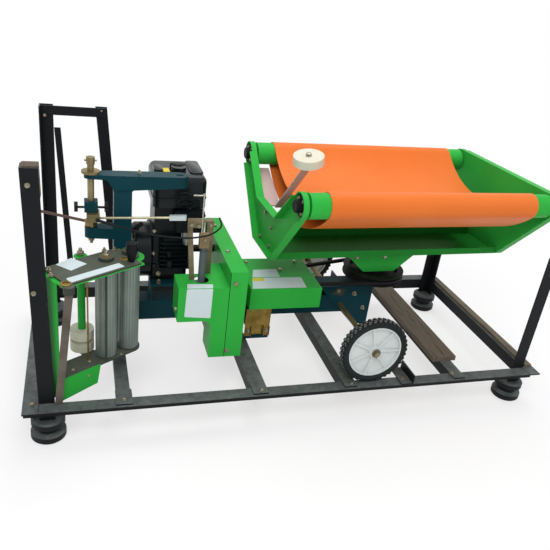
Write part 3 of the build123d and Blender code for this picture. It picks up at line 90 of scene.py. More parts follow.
def objectCoords(tree, scale=(1, 1, 1)):
    coords = tree.nodes.new("ShaderNodeTexCoord")
    mapping = tree.nodes.new("ShaderNodeMapping")
    mapping.inputs["Scale"].default_value = scale
    tree.links.new(coords.outputs["Object"], mapping.inputs["Vector"])
    return mapping.outputs["Vector"]


def noiseOf(tree, vector, scale, detail, rough=0.6):
    noise = tree.nodes.new("ShaderNodeTexNoise")
    noise.inputs["Scale"].default_value = scale
    noise.inputs["Detail"].default_value = detail
    noise.inputs["Roughness"].default_value = rough
    tree.links.new(vector, noise.inputs["Vector"])
    return noise.outputs["Fac"]


def rampOf(tree, factor, places, colors):
    ramp = tree.nodes.new("ShaderNodeValToRGB")
    while len(ramp.color_ramp.elements) < len(places):
        ramp.color_ramp.elements.new(0.5)
    for element, place, color in zip(ramp.color_ramp.elements, places, colors):
        element.position = place
        element.color = tuple(color) + (1,)
    tree.links.new(factor, ramp.inputs["Fac"])
    return ramp.outputs["Color"]


def ranged(tree, value, low, high, start=0.0):
    # from start to 1 while the value goes from low to high
    ramp = tree.nodes.new("ShaderNodeMapRange")
    ramp.inputs["From Min"].default_value = low
    ramp.inputs["From Max"].default_value = high
    ramp.inputs["To Min"].default_value = start
    tree.links.new(value, ramp.inputs["Value"])
    return ramp.outputs["Result"]


def mixColors(tree, factor, first, second):
    mix = tree.nodes.new("ShaderNodeMix")
    mix.data_type = "RGBA"
    for socket, value in ((mix.inputs["Factor"], factor), (mix.inputs[6], first), (mix.inputs[7], second)):
        feed(tree, socket, value)
    return mix.outputs[2]


def bumpInto(tree, shader, height, strength, distance):
    bump = tree.nodes.new("ShaderNodeBump")
    bump.inputs["Strength"].default_value = strength
    bump.inputs["Distance"].default_value = distance
    tree.links.new(height, bump.inputs["Height"])
    tree.links.new(bump.outputs["Normal"], shader.inputs["Normal"])


def facingUp(tree):
    geometry = tree.nodes.new("ShaderNodeNewGeometry")
    axes = tree.nodes.new("ShaderNodeSeparateXYZ")
    tree.links.new(geometry.outputs["Normal"], axes.inputs["Vector"])
    return ranged(tree, axes.outputs["Z"], *steelWear["facing"])


def beyond(tree, vector, zone):
    # 1 past a distance from a point; weights of 0 leave an axis out
    gap = computed(tree, "SUBTRACT", vector, zone["middle"], kind="ShaderNodeVectorMath")
    weighed = computed(tree, "MULTIPLY", gap, zone["weights"], kind="ShaderNodeVectorMath")
    reach = computed(tree, "LENGTH", weighed, kind="ShaderNodeVectorMath", output="Value")
    return computed(tree, "GREATER_THAN", reach, zone["distance"])


def patchy(tree, vector, spots, detail, dark, light, zone):
    # two shades in soft patches, and a third color past the zone's distance
    patches = noiseOf(tree, vector, spots, detail)
    color = rampOf(tree, patches, (patchStops["dark"], patchStops["light"]), (dark, light))
    if zone:
        color = mixColors(tree, beyond(tree, vector, zone), color, zone["color"])
    return color


def paintMaterial(name, color, shade, rough, coat=0.0, peel=0.02, spots=3.0, specular=0.1, zone=None):
    mat, tree, shader = newMaterial(name)
    vector = objectCoords(tree)
    paint = patchy(tree, vector, spots, paintGrain["detail"], shade, color, zone)
    tree.links.new(paint, shader.inputs["Base Color"])
    shader.inputs["Roughness"].default_value = rough
    shader.inputs["Specular IOR Level"].default_value = specular
    shader.inputs["Coat Weight"].default_value = coat
    shader.inputs["Coat Roughness"].default_value = paintGrain["coatRough"]
    if peel:
        pores = noiseOf(tree, vector, peelGrain["scale"], peelGrain["detail"])
        bumpInto(tree, shader, pores, peel, peelGrain["depth"])
    return mat


def wornSteel(name, dark, worn, rust, rough, amount):
    # scuffs and dust on what faces up, rust in broad spots
    mat, tree, shader = newMaterial(name)
    vector = objectCoords(tree)
    fine = noiseOf(tree, vector, *steelWear["fine"])
    broad = noiseOf(tree, vector, *steelWear["broad"])
    facing = facingUp(tree)
    scuffs = computed(tree, "MULTIPLY", facing, rampOf(tree, fine, steelWear["scuffs"], (black, white)))
    dust = computed(tree, "MULTIPLY", facing, amount * steelWear["dust"])
    level = computed(tree, "MULTIPLY_ADD", scuffs, amount, dust)
    rustSpots = rampOf(tree, broad, steelWear["rust"], (black, white))
    color = mixColors(tree, rustSpots, mixColors(tree, level, dark, worn), rust)
    tree.links.new(color, shader.inputs["Base Color"])
    shader.inputs["Roughness"].default_value = rough
    shader.inputs["Specular IOR Level"].default_value = steelWear["specular"]
    bumpInto(tree, shader, fine, steelWear["bump"], steelWear["depth"])
    return mat


def woodMaterial(name, light, dark, along, rough):
    # the grain runs along one axis, 0 to 2
    mat, tree, shader = newMaterial(name)
    scale = [woodGrain["across"]] * 3
    scale[along] = woodGrain["along"]
    vector = objectCoords(tree, scale)
    grain = noiseOf(tree, vector, *woodGrain["grain"])
    fibres = noiseOf(tree, vector, *woodGrain["fibres"])
    color = rampOf(tree, grain, woodGrain["rings"], (dark, light, dark))
    streaks = rampOf(tree, fibres, woodGrain["streaks"], ((woodGrain["streakShare"],) * 3, black))
    tree.links.new(mixColors(tree, streaks, color, dark), shader.inputs["Base Color"])
    shader.inputs["Roughness"].default_value = rough
    bumpInto(tree, shader, fibres, woodGrain["bump"], woodGrain["depth"])
    return mat


def metalMaterial(name, light, dark, rough, metallic, spots=9.0, zone=None):
    mat, tree, shader = newMaterial(name)
    metal = patchy(tree, objectCoords(tree), spots, metalGrain["detail"], dark, light, zone)
    tree.links.new(metal, shader.inputs["Base Color"])
    shader.inputs["Metallic"].default_value = metallic
    shader.inputs["Roughness"].default_value = rough
    return mat


shaftMiddle = (-0.7635, -0.07, 0.0)
greenPaint = paintMaterial("greenPaint", (0.035, 0.43, 0.06), (0.026, 0.36, 0.046), 0.4, specular=0.07)
tealPaint = paintMaterial("tealPaint", (0.004, 0.045, 0.058), (0.003, 0.03, 0.04), 0.36, specular=0.08)
clampPaint = paintMaterial(
    "clampPaint", (0.004, 0.045, 0.055), (0.003, 0.03, 0.038), 0.4,
    zone={"middle": shaftMiddle, "weights": (1, 0, 0), "distance": 0.026, "color": (0.012, 0.014, 0.014)},
)
blackSteel = wornSteel(
    "blackSteel", (0.007, 0.008, 0.01), (0.13, 0.15, 0.145), (0.045, 0.03, 0.022), 0.5, 0.6
)
brownWood = woodMaterial("brownWood", (0.15, 0.12, 0.09), (0.06, 0.046, 0.034), 1, 0.85)
stubWood = woodMaterial("stubWood", (0.11, 0.08, 0.055), (0.04, 0.028, 0.02), 2, 0.85)
tanWood = woodMaterial("tanWood", (0.16, 0.13, 0.09), (0.07, 0.055, 0.04), 1, 0.8)
zincSteel = metalMaterial("zincSteel", (0.3, 0.25, 0.13), (0.16, 0.12, 0.05), 0.42, 0.75)
boltZinc = metalMaterial("boltZinc", (0.42, 0.39, 0.3), (0.2, 0.17, 0.11), 0.38, 0.8, 60.0)
leverZinc = metalMaterial("leverZinc", (0.24, 0.2, 0.12), (0.1, 0.075, 0.035), 0.45, 0.6, 14.0)
rodZinc = metalMaterial(
    "rodZinc", (0.62, 0.6, 0.42), (0.42, 0.38, 0.22), 0.36, 0.6, 20.0,
    zone={"middle": (-0.745, 0, 0), "weights": (1, 0, 0), "distance": 0.232, "color": (0.52, 0.6, 0.6)},
)
cutterMetal = metalMaterial(
    "cutterMetal", (0.34, 0.26, 0.12), (0.18, 0.12, 0.05), 0.42, 0.6, 20.0,
    zone={"middle": shaftMiddle, "weights": (1, 1, 0), "distance": 0.0225, "color": (0.09, 0.05, 0.035)},
)
brassZinc = metalMaterial("brassZinc", (0.34, 0.23, 0.05), (0.14, 0.085, 0.015), 0.4, 0.75, 22.0)
greySteel = paintMaterial("greySteel", (0.12, 0.15, 0.155), (0.08, 0.1, 0.105), 0.42)
filmSteel = wornSteel("filmSteel", (0.04, 0.05, 0.038), (0.1, 0.11, 0.085), (0.09, 0.07, 0.035), 0.42, 0.5)
braceSteel = metalMaterial("braceSteel", (0.13, 0.11, 0.085), (0.06, 0.048, 0.034), 0.6, 0.2, 14.0)
rubberBlack = paintMaterial("rubberBlack", (0.014, 0.015, 0.016), (0.008, 0.008, 0.009), 0.6, 0.0, 0.05)
blackPlastic = paintMaterial("blackPlastic", (0.009, 0.01, 0.011), (0.006, 0.006, 0.007), 0.4)
aluminium = metalMaterial("aluminium", (0.24, 0.29, 0.26), (0.18, 0.22, 0.2), 0.42, 0.65)
nylonWhite = paintMaterial("nylonWhite", (0.72, 0.7, 0.58), (0.64, 0.61, 0.49), 0.4, 0.05, 0.0)
whitePlastic = paintMaterial("whitePlastic", (0.62, 0.66, 0.65), (0.52, 0.56, 0.56), 0.4, 0.05, 0.0)
engineBlack = paintMaterial("engineBlack", (0.004, 0.008, 0.009), (0.003, 0.005, 0.006), 0.34, 0.12)
wireSteel = metalMaterial("wireSteel", (0.5, 0.5, 0.42), (0.34, 0.33, 0.26), 0.4, 0.5, 30.0)
mufflerSteel = metalMaterial("mufflerSteel", (0.26, 0.26, 0.26), (0.14, 0.13, 0.12), 0.45, 0.9)
castBlack = paintMaterial("castBlack", (0.012, 0.012, 0.012), (0.007, 0.007, 0.007), 0.5, 0.0, 0.06)
bandOrange = paintMaterial(
    "bandOrange", (0.75, 0.185, 0.032), (0.69, 0.155, 0.025), 0.42, 0.0, 0.015, 1.5, 0.12
)
armPink = paintMaterial("armPink", (0.6, 0.44, 0.42), (0.5, 0.35, 0.33), 0.6, 0.0, 0.05, 12.0)
# the trough's green is darker than the other green paint: painted shade from the band above
troughGreenPaintedShade = paintMaterial("troughGreenPaintedShade", (0.02, 0.25, 0.035), (0.015, 0.21, 0.027), 0.45, specular=0.05)
# the tread past the zone's distance is painted lighter grey: a painted highlight on the tread tops
tyreRubberPaintedHighlight = paintMaterial(
    "tyreRubberPaintedHighlight", (0.02, 0.025, 0.025), (0.011, 0.014, 0.014), 0.7, 0.0, 0.08,
    zone={
        "middle": (0.234, 0, 0.2813), "weights": (1, 0, 1), "distance": 0.1298,
        "color": (0.12, 0.13, 0.13),
    },
)
damperSteel = paintMaterial(
    "damperSteel", (0.1, 0.125, 0.13), (0.075, 0.095, 0.1), 0.36,
    zone={"middle": (0, 0, 0.4), "weights": (0, 0, 1), "distance": 0.208, "color": (0.2, 0.15, 0.075)},
)
whiteSheet = paintMaterial("whiteSheet", (0.62, 0.7, 0.72), (0.56, 0.65, 0.67), 0.5, 0.0, 0.0)
yellowPatch = paintMaterial("yellowPatch", (0.7, 0.58, 0.06), (0.62, 0.5, 0.05), 0.5, 0.0, 0.0)
tankBlack = paintMaterial("tankBlack", (0.006, 0.011, 0.013), (0.004, 0.007, 0.008), 0.28, 0.25, 0.02)
carbMetal = metalMaterial("carbMetal", (0.36, 0.38, 0.38), (0.2, 0.2, 0.19), 0.42, 0.9, 30.0)

slotLooks = {
    "black_steel": blackSteel, "brown_wood": brownWood, "tan_wood": tanWood,
    "teal_paint": tealPaint, "zinc_steel": zincSteel, "brass_block": zincSteel,
    "grey_steel": greySteel, "black_rubber": rubberBlack, "green_paint": greenPaint,
    "grey_plate": filmSteel, "black_plastic": blackPlastic, "bare_aluminium": aluminium,
    "white_nylon": nylonWhite, "black_engine": engineBlack, "muffler_steel": mufflerSteel,
    "black_tyre": tyreRubberPaintedHighlight, "white_plastic": whitePlastic, "cast_pulley": castBlack,
    "orange_band": bandOrange, "pink_steel": armPink,
}
nodeLooks = {
    "skid_wood_stub": stubWood, "beam_bracket": brassZinc, "film_bottom_plate": filmSteel,
    "film_strut": braceSteel, "cutter_arm": cutterMetal, "link_rod": rodZinc,
    "shaft_clamp": clampPaint, "lever_bracket": leverZinc, "engine_tank": tankBlack,
    "damper": damperSteel, "table_trough": troughGreenPaintedShade,
}
for pair in frame["record"]["subparts"]:
    node = nodes[pair["node"]]
    look = nodeLooks.get(pair["node"], slotLooks[pair["material_slot"]])
    node.data.materials.clear()
    node.data.materials.append(look)


# rounded edges on the frame

edgeLimits = {"segments": 2, "sharpest": 40}
edgeRounds = {
    "green_paint": 0.0009, "teal_paint": 0.0015, "black_steel": 0.0012, "zinc_steel": 0.0006,
    "black_engine": 0.003, "black_plastic": 0.0012, "white_plastic": 0.0012, "white_nylon": 0.0015,
    "grey_plate": 0.0006, "brown_wood": 0.0015, "tan_wood": 0.0012, "grey_steel": 0.001,
    "pink_steel": 0.0006, "cast_pulley": 0.0008, "brass_block": 0.0006, "muffler_steel": 0.002,
}
for pair in frame["record"]["subparts"]:
    width = edgeRounds.get(pair["material_slot"])
    if width is None:
        continue
    node = nodes[pair["node"]]
    bevel = node.modifiers.new("edges", "BEVEL")
    bevel.width = width
    bevel.segments = edgeLimits["segments"]
    bevel.limit_method = "ANGLE"
    bevel.angle_limit = math.radians(edgeLimits["sharpest"])
    bevel.harden_normals = False
    bevel.use_clamp_overlap = True
print("edges rounded")


# helpers for modelling; places are in millimetres, sizes of primitives in metres

tablePlace = {"middle": (380, 0), "shift": 13.5, "turn": 2.1}
filmPlace = {"middle": (-872, -395), "shift": 0, "turn": 32}
filmLevels = {"top": 598, "shaft": 610, "low": 228, "foot": 235}
coverTops = {"gear": 540, "belt": 408}


def mm(x, y, z):
    return Vector((x, y, z)) / 1000


def turned(angle, axis):
    return Matrix.Rotation(math.radians(angle), 4, axis)


def placed(place, along, over, z):
    # a point of a turned unit, from its distances along and across the unit
    x, y = place["middle"]
    cosine, sine = math.cos(math.radians(place["turn"])), math.sin(math.radians(place["turn"]))
    along += place["shift"]
    return mm(x + along * cosine - over * sine, y + along * sine + over * cosine, z)


def onTable(u, v, z):
    # u along the rollers from the middle of the table, v across them
    return placed(tablePlace, u, v, z)


def onFilmUnit(p, q, z):
    return placed(filmPlace, p, q, z)


def heading(place):
    return Vector((math.cos(math.radians(place["turn"])), math.sin(math.radians(place["turn"])), 0))


tableAlong, filmAlong = heading(tablePlace), heading(filmPlace)
tableAcross = Vector((-tableAlong.y, tableAlong.x, 0))
filmAcross = Vector((-filmAlong.y, filmAlong.x, 0))
up, down = Vector((0, 0, 1)), Vector((0, 0, -1))
front, back = Vector((0, -1, 0)), Vector((0, 1, 0))
leftward, rightward = Vector((-1, 0, 0)), Vector((1, 0, 0))
facesOnly, edgesOnly = (False, False, True), (False, True, False)
bpy.context.tool_settings.mesh_select_mode = facesOnly
weldGap = 0.00001


def selectOnly(*objects):
    bpy.ops.object.select_all(action="DESELECT")
    for obj in objects:
        obj.select_set(True)
    bpy.context.view_layer.objects.active = objects[0]


def onTop(center, normal):
    return normal.z > 0.95


def onRims(center, normal):
    return abs(normal.z) > 0.95


def everyFace(center, normal):
    return True


def chooseFaces(obj, test):
    for item in list(obj.data.vertices) + list(obj.data.edges):
        item.select = False
    for face in obj.data.polygons:
        face.select = bool(test(face.center, face.normal))
    bpy.ops.object.mode_set(mode="EDIT")


def insetTop(obj, *steps):
    # insets the upper face once for each thickness and depth
    chooseFaces(obj, onTop)
    for thickness, depth in steps:
        bpy.ops.mesh.inset(thickness=thickness, depth=depth)
    bpy.ops.object.mode_set(mode="OBJECT")


def closeMesh(merge=0.0):
    # welds the points that meet, if asked, and turns every face outwards
    bpy.ops.mesh.select_all(action="SELECT")
    if merge:
        bpy.ops.mesh.remove_doubles(threshold=merge)
    bpy.ops.mesh.normals_make_consistent(inside=False)
    bpy.ops.object.mode_set(mode="OBJECT")


def faceAlong(obj, location, direction):
    # sets a piece that was modelled upright at the origin in its place
    turnTo = direction.to_track_quat("Z", "Y").to_matrix().to_4x4()
    obj.matrix_world = Matrix.Translation(location) @ turnTo @ obj.matrix_world


def drum(radius, depth, low=0.0, sides=24, rim=0.0005, top=1.0):
    # upright, its foot at the height low, its two rims rounded, its top narrowed by the share top
    bpy.ops.mesh.primitive_cylinder_add(vertices=sides, radius=radius, depth=depth, location=(0, 0, 0))
    obj = bpy.context.object
    chooseFaces(obj, onTop)
    bpy.ops.transform.resize(value=(top, top, 1))
    bpy.ops.object.mode_set(mode="OBJECT")
    chooseFaces(obj, onRims)
    bpy.ops.mesh.bevel(offset=min(rim, depth * 0.4), segments=2, affect="EDGES")
    bpy.ops.object.mode_set(mode="OBJECT")
    obj.location = (0, 0, low + depth / 2)
    selectOnly(obj)
    bpy.ops.object.transform_apply(location=True, rotation=True, scale=True)
    return obj


def block(size, middle=(0, 0, 0), rim=0.001):
    bpy.ops.mesh.primitive_cube_add(size=1, location=middle)
    obj = bpy.context.object
    obj.scale = size
    bpy.ops.object.transform_apply(location=True, rotation=True, scale=True)
    chooseFaces(obj, everyFace)
    bpy.ops.mesh.bevel(offset=rim, segments=2, affect="EDGES")
    bpy.ops.object.mode_set(mode="OBJECT")
    return obj


def gather(parts, name, look, body, angle=35):
    selectOnly(*parts)
    if len(parts) > 1:
        bpy.ops.object.join()
    whole = bpy.context.object
    bpy.ops.object.transform_apply(location=True, rotation=True, scale=True)
    bpy.ops.object.shade_smooth_by_angle(angle=math.radians(angle))
    whole.name = name
    whole.data.name = name
    whole.data.materials.clear()
    whole.data.materials.append(look)
    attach(whole, body)


def fuse(parts):
    selectOnly(*parts)
    bpy.ops.object.join()
    return bpy.context.object


def copyOf(seed, location, direction=up, spin=0.0, size=1.0):
    twin = seed.copy()
    twin.data = seed.data.copy()
    scene.collection.objects.link(twin)
    turnTo = direction.to_track_quat("Z", "Y").to_matrix().to_4x4()
    twin.matrix_world = (
        Matrix.Translation(location) @ turnTo @ Matrix.Rotation(spin, 4, "Z") @ Matrix.Scale(size, 4)
    )
    return twin


def scatter(seed, places, name, look, body):
    copies = [
        copyOf(seed, location, direction, random.uniform(0, 1.0), size)
        for location, direction, size in places
    ]
    gather(copies, name, look, body)


def fasten(seed, places, name, body="machine"):
    scatter(seed, places, name, boltZinc, body)


def discard(*objects):
    for obj in objects:
        bpy.data.objects.remove(obj, do_unlink=True)


# bolts and nuts

boltSizes = {
    "flats": 0.013, "head": 0.0052, "washer": 0.0085, "washerThick": 0.0015, "stub": 0.007,
    "inset": (0.0009, 0.0005), "threadShare": 0.3, "cornerShare": 1.732,
}
screwSizes = {"radius": 0.0055, "height": 0.003, "rim": 0.0012, "top": 0.85, "socket": (0.0016, -0.0008)}


def hexHead():
    thick = boltSizes["washerThick"]
    washer = drum(boltSizes["washer"], thick, 0, 20, 0.0004)
    head = drum(boltSizes["flats"] / boltSizes["cornerShare"], boltSizes["head"], thick, 6, 0.0005)
    insetTop(head, boltSizes["inset"])
    return fuse([head, washer])


def hexNut():
    nut = hexHead()
    radius, length = boltSizes["flats"] * boltSizes["threadShare"], boltSizes["stub"] + boltSizes["head"]
    thread = drum(radius, length, boltSizes["washerThick"], 14, 0.0008)
    return fuse([nut, thread])


def roundScrew():
    head = drum(screwSizes["radius"], screwSizes["height"], 0, 18, screwSizes["rim"], screwSizes["top"])
    insetTop(head, screwSizes["socket"])
    return head


boltSeed, nutSeed, screwSeed = hexHead(), hexNut(), roundScrew()

skidLevels = {"bar": 155, "rail": 150, "under": 144.9}
crossBolts = ((-670.8, 415.5), (-190.0, 425.8), (156.6, 425), (591.8, 412))
skidBolts = []
for side in (-1, 1):
    for x, y in crossBolts:
        skidBolts.append((mm(x, side * y, skidLevels["bar"]), up, 1.0))
        skidBolts.append((mm(x, side * y, skidLevels["under"]), down, 1.0))
    skidBolts.append((mm(372, side * 420, skidLevels["bar"]), up, 1.0))
    skidBolts.append((mm(-959.9, side * 402.9, skidLevels["rail"]), up, 1.0))
fasten(boltSeed, skidBolts, "skid_bolts")

coverBolts = [
    (mm(-275.8, -77.1, coverTops["gear"]), up, 1.0), (mm(-275.8, 170, coverTops["gear"]), up, 1.0),
    (mm(-279.3, -251.2, 496.7), front, 1.0), (mm(-290, -251.2, 218.3), front, 1.0),
    (mm(-23.8, 25.6, coverTops["belt"]), up, 1.0), (mm(-150, 100, coverTops["belt"]), up, 1.0),
    (mm(60, 100, coverTops["belt"]), up, 1.0),
    (mm(-267, 262, 500), back, 1.0), (mm(-267, 262, 370), back, 1.0),
    (mm(-480, -225, 388), leftward, 1.0), (mm(-382, -240, 347), down, 1.0),
]
fasten(boltSeed, coverBolts, "cover_bolts")

frameBolts = [
    (mm(-605, -66, 830), up, 0.9), (mm(-936, -400, 896), front, 0.9), (mm(-936, -400, 560), front, 0.9),
    (mm(340, -48, 262), front, 1.15), (mm(290, -48, 330), front, 1.15), (mm(215, -48, 345), front, 1.15),
    (mm(340, 48, 262), back, 1.15), (mm(290, 48, 330), back, 1.15), (mm(215, 48, 345), back, 1.15),
    (mm(-690, -20, 300), leftward, 1.2), (mm(-690, 20, 300), leftward, 1.2),
    (mm(-170, -40, 300), front, 1.1), (mm(-110, -40, 300), front, 1.1),
    (mm(-178, -124, 219), front, 1.0), (mm(-102, -124, 219), front, 1.0),
    (mm(-922, 395, 902), front, 0.9), (mm(-712, 397, 931), front, 0.9),
    (mm(-520, -28, 390), up, 1.1), (mm(-440, -28, 390), up, 1.1),
    (mm(-520, 160, 390), up, 1.1), (mm(-440, 160, 390), up, 1.1),
]
fasten(nutSeed, frameBolts, "frame_nuts")

plateFace = 501.5
plateBolts = ((52.8, 655), (-31.9, 627.6), (82.4, 543.2), (-26.6, 547.9))
bearings = {
    "v": 302.5, "z": 817, "boltFace": 511.5, "boltCircle": 30, "sealFace": 531.4, "nippleU": 508,
    "nippleZ": 854.5, "sealSize": (0.0205, 0.0012), "sealInset": (0.005, -0.0008),
}
guideAxle = {"top": (-46.2, -171.3, 945.9), "lean": (-0.1635, -0.1584, 0.9743), "size": 1.3}
tableBolts = [
    (onTable(side * plateFace, v, z), side * tableAlong, 1.0) for side in (-1, 1) for v, z in plateBolts
]
tableBolts += [
    (onTable(u, side * 50, 499), side * tableAcross, 1.1) for u in (-128.5, -1) for side in (-1, 1)
]
bearingSpots = [(side, v) for side in (-1, 1) for v in (-bearings["v"], bearings["v"])]
for side, v in bearingSpots:
    for quarter in range(4):
        angle = math.radians(45 + 90 * quarter)
        boltV = v + bearings["boltCircle"] * math.cos(angle)
        boltZ = bearings["z"] + bearings["boltCircle"] * math.sin(angle)
        tableBolts.append((onTable(side * bearings["boltFace"], boltV, boltZ), side * tableAlong, 0.8))
tableBolts.append((mm(*guideAxle["top"]), Vector(guideAxle["lean"]), guideAxle["size"]))
fasten(boltSeed, tableBolts, "table_bolts", "turntable")
print("bolts and nuts placed")


# table: bearing seals, grease nipples and rear lip

sealSeed = drum(*bearings["sealSize"], 0, 28, 0.0004)
insetTop(sealSeed, bearings["sealInset"])
sealPlaces = [
    (onTable(side * bearings["sealFace"], v, bearings["z"]), side * tableAlong, 1.0)
    for side, v in bearingSpots
]
scatter(sealSeed, sealPlaces, "bearing_seals", castBlack, "turntable")

# upright edge on the trough's rear lip, in the trough's darkened green, which is painted shade
rearLip = block((0.988, 0.003, 0.017))
rearLip.matrix_world = Matrix.Translation(onTable(0, 103.4, 563)) @ turned(tablePlace["turn"], "Z")
gather([rearLip], "trough_rear_lip", troughGreenPaintedShade, "turntable")

greaseNipple = fuse([drum(0.003, 0.006, 0, 12, 0.0004), drum(0.0018, 0.004, 0.006, 10, 0.0006)])
nipplePlaces = [
    (onTable(side * bearings["nippleU"], v, bearings["nippleZ"]), up, 1.0) for side, v in bearingSpots
]
fasten(greaseNipple, nipplePlaces, "bearing_nipples", "turntable")


# weld beads on the table, the frame and the skid

weld = {"bead": 0.0028, "pitch": 0.0045, "flat": 0.7, "drift": 0.0004, "sizes": (0.85, 1.15)}


def weldBead():
    bpy.ops.mesh.primitive_uv_sphere_add(segments=10, ring_count=5, radius=weld["bead"])
    bead = bpy.context.object
    bead.scale = (1, 1, weld["flat"])
    selectOnly(bead)
    bpy.ops.object.transform_apply(location=True, rotation=True, scale=True)
    return bead


beadSeed = weldBead()


def weldSeams(seams, name, look, body):
    beads = []
    for start, end in seams:
        count = max(2, int((end - start).length / weld["pitch"]))
        for step in range(count):
            drift = Vector([random.uniform(-weld["drift"], weld["drift"]) for _ in range(3)])
            spot = start.lerp(end, step / (count - 1)) + drift
            beads.append(copyOf(beadSeed, spot, up, random.uniform(0, 3), random.uniform(*weld["sizes"])))
    gather(beads, name, look, body, 60)


weldSeams(
    [
        (onTable(u0, side * 52, 528), onTable(u1, side * 52, 528))
        for u0, u1 in ((-170, -60), (60, 170)) for side in (-1, 1)
    ]
    + [(onTable(side * 494.5, -100, 531), onTable(side * 494.5, 100, 531)) for side in (-1, 1)],
    "table_welds", greenPaint, "turntable",
)
weldSeams(
    [
        (mm(-692, -41, 240), mm(-692, 41, 240)), (mm(-630.5, -108, 318), mm(-630.5, -42, 318)),
        (mm(-690, -101, 779), mm(-632, -101, 779)), (mm(-629, -98, 779), mm(-629, -42, 779)),
    ],
    "frame_welds", tealPaint, "machine",
)
weldSeams(
    [(mm(x, side * 399, 101), mm(x, side * 399, 149)) for x in (-941, 941) for side in (-1, 1)],
    "skid_welds", blackSteel, "machine",
)
discard(beadSeed, sealSeed, greaseNipple)
print("seals and welds done")


# blank plates and sheets

def flatPlate(corners, direction, thick, rounding, name, look):
    # a thin plate over four corners that run round it, rounded at each
    bpy.ops.mesh.primitive_plane_add(size=1)
    plate = bpy.context.object
    points = plate.data.vertices
    order = sorted(range(4), key=lambda i: math.atan2(points[i].co.y, points[i].co.x))
    for i, corner in zip(order, corners):
        points[i].co = corner
    chooseFaces(plate, everyFace)
    bpy.ops.mesh.bevel(offset=rounding, segments=4, affect="VERTICES")
    bpy.ops.mesh.extrude_region_move(TRANSFORM_OT_translate={"value": tuple(direction * thick)})
    closeMesh()
    gather([plate], name, look, "machine", 30)


plateThick = 0.0006
flatPlate(
    [mm(-455, -250, 368), mm(-361, -250, 359), mm(-359, -250, 478.5), mm(-451, -250, 478.5)],
    front, plateThick, 0.004, "cover_sheet_front", whiteSheet,
)
flatPlate(
    [mm(-450, -248.5, 480), mm(-359, -248.5, 480), mm(-355, -221, 480), mm(-445, -214, 480)],
    up, plateThick, 0.004, "cover_sheet_fold", whiteSheet,
)
flatPlate(
    [mm(x, y, coverTops["belt"]) for x, y in ((-178, -129), (40, -130), (45, -42), (-157, -40))],
    up, plateThick, 0.003, "belt_cover_plate", whiteSheet,
)
flatPlate(
    [mm(x, y, coverTops["belt"]) for x, y in ((-155, -34), (-42, -36), (-38, 35), (-137, 30))],
    up, plateThick, 0.003, "belt_cover_small_plate", whiteSheet,
)
flatPlate(
    [mm(-165, -68, 408.6), mm(-117, -69, 408.6), mm(-111, -43, 408.6), mm(-157, -42, 408.6)],
    up, plateThick * 0.5, 0.002, "belt_cover_yellow_patch", yellowPatch,
)
flatPlate(
    [onFilmUnit(p, q, filmLevels["top"]) for p, q in ((71, 33), (136, 47), (119, 110), (55, 95))],
    up, plateThick, 0.002, "film_plate_square", whiteSheet,
)
flatPlate(
    [onFilmUnit(p, q, filmLevels["top"]) for p, q in ((27, -35), (222, -33), (221, -3), (31, -4))],
    up, plateThick, 0.002, "film_plate_strip", whiteSheet,
)
flatPlate(
    [mm(-297.4, -250, 190.4), mm(-235.6, -250, 190.4), mm(-235.6, -250, 539.4), mm(-297.4, -250, 539.4)],
    front, 0.0012, 0.001, "guard_front_sheet", greenPaint,
)
# thin black strip along the guard's seam: painted shadow in the gap beside the front sheet
flatPlate(
    [mm(-299.4, -249.9, 191), mm(-297.4, -249.9, 191), mm(-297.4, -249.9, 539), mm(-299.4, -249.9, 539)],
    front, 0.0004, 0.0002, "guard_seam_painted_shadow", rubberBlack,
)

# joints of the rails at the skid's four corners
cornerSeams = [
    block((0.0016, 0.049, 0.0008), mm(alongX * 940, alongY * 425, 150), 0.0002)
    for alongX in (-1, 1) for alongY in (-1, 1)
]
gather(cornerSeams, "skid_corner_seams", rubberBlack, "machine")

# rounded inner corner below the gear cover
cornerWeb = {"corner": (-357, 347), "round": 30, "face": -250, "thick": 4, "steps": 10, "hub": 3}
cornerX, cornerZ = cornerWeb["corner"]
middleX, middleZ = cornerX - cornerWeb["round"], cornerZ - cornerWeb["round"]
webOutline = [(cornerX, cornerZ)]
for step in range(cornerWeb["steps"] + 1):
    angle = math.radians(90 - 90 * step / cornerWeb["steps"])
    webOutline.append(
        (middleX + cornerWeb["round"] * math.cos(angle), middleZ + cornerWeb["round"] * math.sin(angle))
    )
bpy.ops.mesh.primitive_circle_add(vertices=len(webOutline), radius=0.01, fill_type="TRIFAN")
web = bpy.context.object
rim = [vertex for vertex in web.data.vertices if vertex.co.length > 0.005]
hubs = [vertex for vertex in web.data.vertices if vertex.co.length < 0.005]
for vertex, (x, z) in zip(rim, webOutline):
    vertex.co = mm(x, cornerWeb["face"], z)
for vertex in hubs:
    vertex.co = mm(cornerX - cornerWeb["hub"], cornerWeb["face"], cornerZ - cornerWeb["hub"])
chooseFaces(web, everyFace)
bpy.ops.mesh.extrude_region_move(TRANSFORM_OT_translate={"value": (0, cornerWeb["thick"] / 1000, 0)})
closeMesh()
gather([web], "cover_corner_web", greenPaint, "machine", 30)

# bracket in front of the beam: middle sheet, clips and the bar below
clips = [block((0.054, 0.002, 0.044), mm(-140, -118.5, 219), 0.0005)]
for x in (-189, -166, -114, -91):
    clips.append(block((0.0025, 0.01, 0.042), mm(x, -127, 216), 0.0006))
gather(clips, "bracket_clips", brassZinc, "machine")
lowBar = block((0.1, 0.02, 0.013), mm(-140, -112, 186.5), 0.002)
gather([lowBar], "bracket_bar", tealPaint, "machine")
print("blank plates laid")


# film unit: nuts, screws, washers and the thin tie rod

